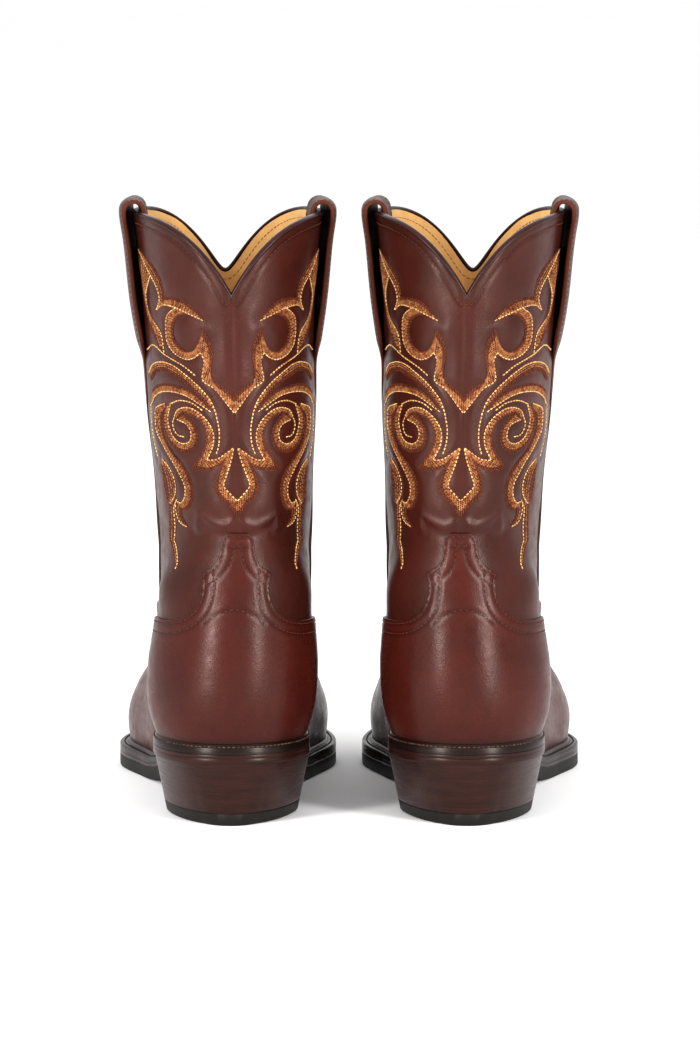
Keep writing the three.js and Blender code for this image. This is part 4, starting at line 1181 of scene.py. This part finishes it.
def build_straps():
    """Pull straps: wide bands with raw edges that loop over the top line."""
    c = colours()
    band = finish_of("strap_calf", leather_finish, rgba(c.strap), gloss=0.42)
    raw = finish_of("raw_edge", plain_finish, paint(84, 38, 18), 0.6, 900, 0.3)
    path = strap_path()
    run = np.gradient(path[:, :2], axis=0)
    run /= np.linalg.norm(run, axis=1)[:, None]
    half = path[:, 3]
    shares = np.sin(np.linspace(-1, 1, 21) * math.pi / 2) / 2
    for name, side in (("outer_pull_strap", 1), ("inner_pull_strap", -1)):

        def layer(share, offset):
            """A line along the strap, at a share of its width and of its half thickness."""
            lean = 1 - 0.75 * smooth(-0.1, 0.5, share)
            depth = np.where(path[:, 0] > half, half + (path[:, 0] - half) * lean, path[:, 0])
            depth = depth + offset * half * run[:, 1]
            level = path[:, 1] - offset * half * run[:, 0]
            reach = angle_at(share * path[:, 2], np.minimum(level, SHAFT_RISE))
            return surface(side * reach, level, depth)

        columns = [layer(share, 1 - 0.12 * abs(2 * share) ** 8)[0] for share in shares]
        wide = path[:, 2].max()
        turns = np.radians((45, 90, 135))
        columns += [layer(0.5 + 0.5 * math.sin(turn) / wide, math.cos(turn))[0] for turn in turns]
        columns += [layer(share, -1)[0] for share in shares[::-1]]
        columns += [layer(-0.5 - 0.5 * math.sin(turn) / wide, math.cos(turn))[0] for turn in turns[::-1]]
        rings = np.stack(columns, 1)
        points, faces = skin(rings)
        count = rings.shape[1]
        rim = {20, 21, 22, 23, 44, 45, 46, 47}
        edge_faces = [k for k in range(len(faces) - 2) if k % count in rim]
        dark = np.full((len(path), count), 0.0)
        dark[:, [1, 2, 18, 19]] = 0.35
        add_pair(f"{name}_band", points, faces, band, [name], dark.ravel(),
                 (raw, edge_faces))
        rows = []
        for share in (-0.5 + 2.6 / wide, 0.5 - 2.6 / wide):
            line, out = layer(share, 0.95)
            ahead_line, _ = layer(share + 0.02, 0.95)
            normal = unit(np.cross(ahead_line - line, np.gradient(line, axis=0)) * side)
            good = path[:, 2] > STRAP_WIDTH - 1
            rows.append((line[good], normal[good]))
        seam_rows(f"{name}_stitches", rows)


# ------------------------------------------------------------ foot

def foot_shade_and_darker_toe(angle, level):
    """The foot's leather: painted shade just above the welt and along the counter's seam, and darker low on
    the toe.
    """
    a = np.abs(half_turn(angle))
    # Painted shade just above the welt, under its lip.
    low = 0.85 * np.exp(-(level / 4.0) ** 2)
    # Painted shade along the counter's seam.
    seam = 0.45 * np.exp(-((a - counter_edge(level)) / 2.6) ** 2)
    toe = 0.4 * smooth(150, 178, a) * smooth(34, 8, level)
    return low + seam + toe


def counter_lines():
    """Stitch lines of the counter: two rows inside its top edge, and the arch behind."""
    top = counter_top()
    lines = [inward_of(top[::-1], distance, OVERLAY) for distance in (1.7, 6.6)]
    lines = [line[np.abs(line[:, 0]) < 88] for line in lines]
    turn = np.linspace(-20, 20, 60)
    lines.append(np.stack([turn, 67.5 - 7 * (np.abs(turn) / 20) ** 1.7], 1))
    return lines


def build_counter():
    """The heel counter, with its tab up the back."""
    foot = finish_of("foot_calf", leather_finish, rgba(colours().foot), gloss=0.29)
    top = counter_top()
    edge = seam_edge(-SEAM_HALF)
    bottom = np.stack([np.linspace(-99, 99, 300), np.full(300, 0.3)], 1)
    outline = np.concatenate([bottom, edge[1:], top[1:-1], (edge * [-1, 1])[::-1][:-1]])
    lines = [on_surface(line, overlay_face) for line in counter_lines()]
    # The counter carries painted shade above the welt and along its seam.
    points, faces, dark = leather(outline, overlay_face, LEATHER, 1.0, 1.3,
                                  lines=[line[0] for line in lines], dark=foot_shade_and_darker_toe)
    add_pair("counter_leather", points, faces, foot, ["counter"], dark)
    seam_rows("counter_stitches", [on_surface(line, lambda level: overlay_face(level) - 0.12)
                                   for line in counter_lines()])


def build_vamp():
    """The vamp, with its tongue up the instep and a double row along the counter's seam."""
    foot = finish_of("foot_calf", leather_finish, rgba(colours().foot), gloss=0.29)
    top = vamp_top()
    edge = seam_edge(SEAM_HALF)
    far = (edge * [-1, 1] + [360, 0])[::-1]
    bottom = np.stack([np.linspace(edge[0, 0], far[-1, 0], 500), np.full(500, 0.3)], 1)
    outline = np.concatenate([bottom[1:-1], far[::-1], top[::-1], edge[::-1]])
    rows = [inward_of(top, distance, OVERLAY) for distance in (1.7, 4.2)]
    rows = [row[(row[:, 0] > 92) & (row[:, 0] < 268)] for row in rows]
    for gap in (1.6, 3.0):
        line = seam_edge(gap, 4)
        rows += [line, line * [-1, 1] + [360, 0]]
    lines = [on_surface(line, overlay_face)[0] for line in rows]
    # The vamp carries painted shade above the welt and along the counter's seam, and is darker low on the
    # toe.
    points, faces, dark = leather(outline, overlay_face, LEATHER, 2.4, 2.0, relief=vamp_relief, lines=lines,
                                  dark=foot_shade_and_darker_toe)
    add_pair("vamp_leather_piece", points, faces, foot, ["vamp"], dark)
    seam_rows("vamp_stitches", [
        on_surface(line, lambda level: overlay_face(level) - 0.12, vamp_relief) for line in rows])


def vamp_relief(angle, level):
    """Soft creases where the foot bends, and the slow waves of lasted leather."""
    points = spot(angle, level)
    bend = np.exp(-((points[:, 1] - 205) / 20) ** 2) * smooth(14, 40, level)
    creases = np.sin((points[:, 1] + 0.12 * np.abs(points[:, 0] - 4) ** 1.2) / 2.6) * 0.1
    return bend * creases + ripple(points, 40, 31) * 0.15


# ------------------------------------------------------------ sole

def stand_out(y):
    """How far the sole stands out from the feather line."""
    share = y / SOLE_LENGTH
    return mix(mix(WELT_HEEL, WELT_WAIST, smooth(0.15, 0.3, share)), WELT_FORE, smooth(0.4, 0.66, share))


def feather(count=600):
    """Even points round the feather line from the back, with the directions that point away from it."""
    angle = np.linspace(0, 360, 2881)[:-1]
    dense = spot(angle, np.zeros(len(angle)))
    closed = np.concatenate([dense, dense[:1]])
    line = resample(closed, count + 1)[:-1]
    way = unit(np.roll(line, -2, 0) - np.roll(line, 2, 0))
    away = unit(np.stack([way[:, 1], -way[:, 0], 0 * way[:, 0]], 1))
    return line, away


def sole_ring(out, drop):
    """A ring at a distance outside the feather line and a depth below the seat."""
    line, away = feather()
    distance = out(line[:, 1]) if callable(out) else out
    moved = line + away * np.broadcast_to(distance, len(line))[:, None]
    depth = drop(moved[:, 1]) if callable(drop) else drop
    moved[:, 2] = seat(moved[:, 1]) - depth
    return moved


def sole_piece(profile):
    """A sole layer as (points, faces).

    Its profile is a row of (distance out, depth) pairs, from its top face down."""
    rings = np.stack([sole_ring(out, drop) for out, drop in profile])
    count = rings.shape[1]
    points = rings.reshape(-1, 3)
    faces = []
    for i in range(len(rings) - 1):
        for j in range(count):
            k = (j + 1) % count
            faces.append((i * count + j, (i + 1) * count + j, (i + 1) * count + k, i * count + k))
    for base, flip in ((0, 1), ((len(rings) - 1) * count, -1)):
        for j in range(count // 2):
            ring = (base + j, base + j + 1, base + (count - j - 1) % count, base + (count - j) % count)
            faces.append(tuple(dict.fromkeys(ring[::flip])))
    return points, outward(points, faces)


def beside(by):
    """A line along the sole's edge, inside it by a distance."""
    return lambda y: stand_out(y) - by


WELT_LOW, MID_LOW = 4.2, 6.0
WELT_INSIDE = 2.45                    # from the feather line to the welt's inner edge


def tread_low(y):
    return MID_LOW + 0.3 + mix(3.0, 6.2, smooth(HEEL_BREAST, BALL_FROM - 30, y))


def edge_profile(top, low, round_top, round_low):
    """A layer's profile between two depths, with rounded corners."""
    deep = low if callable(low) else (lambda y: low + 0 * y)
    profile = [(beside(round_top * 2.5), top)]
    for turn in (0, 45, 90):
        bend = math.radians(turn)
        profile.append((beside(round_top * (1 - math.sin(bend))),
                        top + round_top * (1 - math.cos(bend))))
    for turn in (90, 45, 0):
        bend = math.radians(turn)
        inset, rise = round_low * (1 - math.sin(bend)), round_low * (1 - math.cos(bend))
        profile.append((beside(inset), (lambda y, rise=rise: deep(y) - rise)))
    profile.append((beside(round_low * 2.5), deep))
    return profile


def welt_profile():
    """The storm welt's loop of (distance out, depth): its lip leans on the upper."""
    inside_edge = WELT_INSIDE
    return [(inside_edge, WELT_LOW), (beside(0.2), WELT_LOW), (beside(0), WELT_LOW - 0.2),
            (beside(0), 1.0), (beside(0.25), 0.55), (beside(0.75), 0.35),
            (beside(1.4), 0.4), (inside_edge + 1.5, 0.35), (inside_edge + 1.2, -0.2),
            (inside_edge + 0.8, -0.9), (inside_edge + 0.3, -1.2), (inside_edge, -1.1), (inside_edge, 1.5)]


def build_welt():
    """The storm welt and the stitches that hold it to the sole."""
    made = finish_of("welt_leather", stacked_finish, paint(24, 15, 13), paint(44, 24, 19), 0.3)
    rings = np.stack([sole_ring(out, drop) for out, drop in welt_profile()], 1)
    points, faces = skin(rings, closed=True)
    add_pair("welt_strip", points, faces, made, ["welt"])
    line, _ = feather()
    heel = line[:, 1] < HEEL_BREAST + 8
    groove = sole_ring(lambda y: mix(4.15, WELT_INSIDE + 3.1,
                                     smooth(HEEL_BREAST, HEEL_BREAST + 40, y)), 0.28)
    order = np.roll(np.arange(len(line)), -int(np.argmin(heel)))
    groove = groove[order]
    start = int(np.argmax(~heel[order]))
    up = np.zeros_like(groove)
    up[:, 2] = 1
    dark = paint(40, 27, 22)
    fore = finish_of("welt_thread", thread_finish, dark, tint(dark, 1.5))
    pale = finish_of("heel_thread", thread_finish, paint(96, 66, 48), paint(46, 28, 22))
    fore_count = int((~heel).sum())
    for name, part, finish in (("welt_stitches", slice(start, start + fore_count), fore),
                               ("heel_stitches", slice(start + fore_count - 1, None), pale)):
        row, high = groove[part], up[part]
        points, faces = thread(resample(row, spacing=0.5), resample_with(row, high, 0.5), 2.4, 2.0, 0.36,
                               0.05, 71)
        add_pair(name, points, faces, finish)


def build_sole():
    """Midsole, tread, stacked heel and heel cap."""
    c = colours()
    edge = finish_of("sole_edge", stacked_finish, rgba(c.heel), paint(62, 27, 18), 0.3)
    stack = finish_of("heel_stack", stacked_finish, rgba(c.heel), paint(72, 31, 20))
    rubber = finish_of("tread_rubber", plain_finish, rgba(c.rubber), 0.5, 1400, 0.25)
    cap = finish_of("cap_rubber", plain_finish, paint(30, 25, 25), 0.5, 1600, 0.25)
    points, faces = sole_piece(edge_profile(WELT_LOW, MID_LOW, 0.12, 0.12))
    add_pair("midsole_layer", points, faces, edge, ["midsole"])
    points, faces = sole_piece(edge_profile(MID_LOW, tread_low, 0.12, 0.9))
    under_heel = [k for k, corner in enumerate(faces) if points[list(corner), 1].mean() < HEEL_BREAST - 1]
    add_pair("tread_layer", points, faces, rubber, ["outsole"],
             second=(stack, under_heel))
    stack_top = HEEL_SEAT - tread_low(np.zeros(1))[0] + 0.7
    rows = [(HEEL_CAP, 0.25), (HEEL_CAP + 0.25, 0)]
    rows += [(z, 0) for z in np.linspace(HEEL_CAP + 1, stack_top - 0.1, 14)] + [(stack_top, 0.1)]
    points, faces = heel_piece(rows, stack_top)
    add_pair("heel_stack_body", points, faces, stack,
             [f"heel_lift_{k}" for k in (1, 2, 3, 4)])
    rows = [(0, 0.9), (0.35, 0.35), (0.9, 0), (HEEL_CAP - 0.35, 0), (HEEL_CAP, 0.25)]
    points, faces = heel_piece(rows, stack_top)
    add_pair("heel_cap_body", points, faces, cap, ["heel_cap"])


HEEL_TAPER, HEEL_RAKE = 6.4, 4.0


def heel_piece(rows, stack_top):
    """A slice of the heel from (height, inset) rows. It narrows and slopes towards the floor."""
    ring = sole_ring(stand_out, 0)
    count = len(ring)
    half = ring[:count // 2]
    last = int(np.argmax(half[:, 1] > HEEL_BREAST - 1.2))
    side = half[:last]
    start = side[0, 1]
    rings = []
    for z, inset in rows:
        drop = 1 - min(1, z / stack_top)
        breast = HEEL_BREAST - 2 * drop
        run = np.clip((side[:, 1] - start) / (HEEL_BREAST - start), 0, 1) ** 1.5
        y = mix(side[:, 1] + HEEL_RAKE * drop + inset, breast - inset, run)
        x = side[:, 0] - (HEEL_TAPER * drop + inset) * np.clip(side[:, 0] / 20, 0, 1)
        y = np.minimum(y, breast - inset)
        corner = np.array([[x[-1] - 0.5, breast - inset]])
        flat = np.stack([np.linspace(x[-1] - 1.5, 0, 24), breast - inset - 1.2 * (
            1 - np.linspace(1, 0, 24) ** 2)], 1)
        path = np.concatenate([np.stack([x, y], 1), corner, flat])
        outline = np.concatenate([path, (path[1:-1] * [-1, 1])[::-1]])
        rings.append(np.column_stack([outline, np.full(len(outline), z)]))
    return skin(np.stack(rings))


# ------------------------------------------------------------ inner pieces

def dress_inner_pieces():
    """The pieces inside the boots keep their own meshes and get their finishes."""
    c = colours()
    board = finish_of("fibre_board", plain_finish, paint(176, 150, 112), 0.85, 500, 0.4)
    cork = finish_of("cork", plain_finish, paint(158, 118, 70), 0.9, 420, 0.7, other=0.45)
    steel = finish_of("spring_steel", plain_finish, paint(150, 152, 156), 0.34, 700, 0.15, metal=1.0)
    insole = finish_of("insole_calf", leather_finish, paint(190, 150, 104), gloss=0.6, grain=0.8)
    lining = finish_of("lining_calf", leather_finish, rgba(c.lining))
    for boot, _ in BOOTS:
        for name, made in (("toe_box", board), ("cork_filler", cork),
                           ("shank", steel), ("heel_nail_1", steel), ("heel_nail_2", steel),
                           ("heel_nail_3", steel), ("insole", insole), ("sock_liner", lining)):
            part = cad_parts[f"{boot}_{name}"]
            part.data.materials.clear()
            part.data.materials.append(made)


# ------------------------------------------------------------ stage

FLOOR_REACH = 40.0
GAMMA = 0.86
CAMERA_BACK, CAMERA_HIGH, CAMERA_DOWN = 3.0, 0.5, 6.66
CAMERA_LENS, CAMERA_SENSOR = 212.0, 36


def build_stage():
    """A plain pale floor, two tall soft lights behind the camera's shoulders, and the camera."""
    scene = bpy.context.scene
    floor_finish, tree, bsdf = shader("pale_floor")
    shade = noise(tree, object_place(tree), 3, 2)
    pale = blend(tree, shade, (0.93, 0.93, 0.93, 1), (0.95, 0.95, 0.95, 1))
    tree.links.new(pale, bsdf.inputs["Base Color"])
    bsdf.inputs["Roughness"].default_value = 0.9
    bsdf.inputs["Specular IOR Level"].default_value = 0.2
    corners = np.array([(-1, -1, 0), (1, -1, 0), (1, 1, 0), (-1, 1, 0)]) * FLOOR_REACH
    floor = new_object("studio_floor", corners, [(0, 1, 2, 3)], floor_finish, False)
    world = bpy.data.worlds.new("studio")
    world.use_nodes = True
    world.node_tree.nodes["Background"].inputs["Color"].default_value = (1, 1, 1, 1)
    world.node_tree.nodes["Background"].inputs["Strength"].default_value = 1.06
    scene.world = world
    scene.view_settings.view_transform = "Standard"
    scene.view_settings.gamma = GAMMA
    for name, place, size, power in (("left_softbox", (-1.1, -1.3, 0.6), (0.3, 1.2), 32),
                                     ("right_softbox", (1.1, -1.3, 0.6), (0.3, 1.2), 32),
                                     ("front_softbox", (0.0, 2.2, 1.4), (1.6, 1.0), 5),
                                     ("top_softbox", (0.0, -0.2, 2.4), (2.0, 2.0), 8)):
        light = bpy.data.lights.new(name, "AREA")
        light.shape = "RECTANGLE"
        light.size, light.size_y = size
        light.energy = power
        lamp = bpy.data.objects.new(name, light)
        lamp.location = place
        lamp.rotation_euler = (Vector((0, 0, 0.15)) - Vector(place)).to_track_quat("-Z", "Y").to_euler()
        scene.collection.objects.link(lamp)
    data = bpy.data.cameras.new("studio_camera")
    camera = bpy.data.objects.new("studio_camera", data)
    scene.collection.objects.link(camera)
    data.sensor_width = CAMERA_SENSOR
    data.lens = CAMERA_LENS
    camera.location = (0.0005, SOLE_BACK * MM - CAMERA_BACK, CAMERA_HIGH)
    camera.rotation_euler = (math.radians(90 - CAMERA_DOWN), 0, 0)
    scene.camera = camera


# ------------------------------------------------------------ operators

class BOOTS_OT_stage(bpy.types.Operator):
    """Make the floor, the lights and the camera"""
    bl_idname = "boots.stage"
    bl_label = "Stage"
    bl_options = {"REGISTER", "UNDO"}

    def execute(self, context):
        build_stage()
        return {"FINISHED"}


class BOOTS_OT_shafts(bpy.types.Operator):
    """Make the shaft panels and their seam stitches"""
    bl_idname = "boots.shafts"
    bl_label = "Shaft panels"
    bl_options = {"REGISTER", "UNDO"}

    def execute(self, context):
        build_panels()
        return {"FINISHED"}


class BOOTS_OT_linings(bpy.types.Operator):
    """Make the linings and the stiffener"""
    bl_idname = "boots.linings"
    bl_label = "Linings"
    bl_options = {"REGISTER", "UNDO"}

    def execute(self, context):
        build_linings()
        build_foot_linings()
        return {"FINISHED"}


class BOOTS_OT_trim(bpy.types.Operator):
    """Make the rolled top edges and the side piping"""
    bl_idname = "boots.trim"
    bl_label = "Trim"
    bl_options = {"REGISTER", "UNDO"}

    def execute(self, context):
        build_beading()
        build_piping()
        return {"FINISHED"}


class BOOTS_OT_embroidery(bpy.types.Operator):
    """Sew the scrolls on the shafts"""
    bl_idname = "boots.embroidery"
    bl_label = "Embroidery"
    bl_options = {"REGISTER", "UNDO"}

    def execute(self, context):
        build_embroidery()
        return {"FINISHED"}


class BOOTS_OT_straps(bpy.types.Operator):
    """Make the pull straps"""
    bl_idname = "boots.straps"
    bl_label = "Pull straps"
    bl_options = {"REGISTER", "UNDO"}

    def execute(self, context):
        build_straps()
        return {"FINISHED"}


class BOOTS_OT_foot(bpy.types.Operator):
    """Make the counters and the vamps"""
    bl_idname = "boots.foot"
    bl_label = "Counter and vamp"
    bl_options = {"REGISTER", "UNDO"}

    def execute(self, context):
        build_counter()
        build_vamp()
        return {"FINISHED"}


class BOOTS_OT_welts(bpy.types.Operator):
    """Make the storm welts and their stitches"""
    bl_idname = "boots.welts"
    bl_label = "Welts"
    bl_options = {"REGISTER", "UNDO"}

    def execute(self, context):
        build_welt()
        return {"FINISHED"}


class BOOTS_OT_soles(bpy.types.Operator):
    """Make the soles, the stacked heels and the caps"""
    bl_idname = "boots.soles"
    bl_label = "Soles and heels"
    bl_options = {"REGISTER", "UNDO"}

    def execute(self, context):
        build_sole()
        return {"FINISHED"}


class BOOTS_OT_inner(bpy.types.Operator):
    """Give the hidden pieces their finishes"""
    bl_idname = "boots.inner"
    bl_label = "Inner pieces"
    bl_options = {"REGISTER", "UNDO"}

    def execute(self, context):
        dress_inner_pieces()
        return {"FINISHED"}


OPERATORS = [
    BOOTS_OT_stage, BOOTS_OT_shafts, BOOTS_OT_linings, BOOTS_OT_trim,
    BOOTS_OT_embroidery, BOOTS_OT_straps, BOOTS_OT_foot, BOOTS_OT_welts,
    BOOTS_OT_soles, BOOTS_OT_inner,
]


class BOOTS_PT_panel(bpy.types.Panel):
    """Lists the boots' operators and settings"""
    bl_idname = "BOOTS_PT_panel"
    bl_label = "Western boots"
    bl_space_type = "VIEW_3D"
    bl_region_type = "UI"
    bl_category = "Boots"

    def draw(self, context):
        layout = self.layout
        for group in (context.scene.boot_sizes, context.scene.boot_colours):
            for name in group.__annotations__:
                layout.prop(group, name)
        for one in OPERATORS:
            layout.operator(one.bl_idname)


CLASSES = [BootColours, BootSizes, *OPERATORS, BOOTS_PT_panel]


def register():
    for one in CLASSES:
        bpy.utils.register_class(one)
    bpy.types.Scene.boot_colours = PointerProperty(type=BootColours)
    bpy.types.Scene.boot_sizes = PointerProperty(type=BootSizes)


def unregister():
    del bpy.types.Scene.boot_sizes
    del bpy.types.Scene.boot_colours
    for one in reversed(CLASSES):
        bpy.utils.unregister_class(one)


def main():
    register()
    for one in OPERATORS:
        getattr(bpy.ops.boots, one.bl_idname.split(".")[1])()


if __name__ == "__main__":
    main()
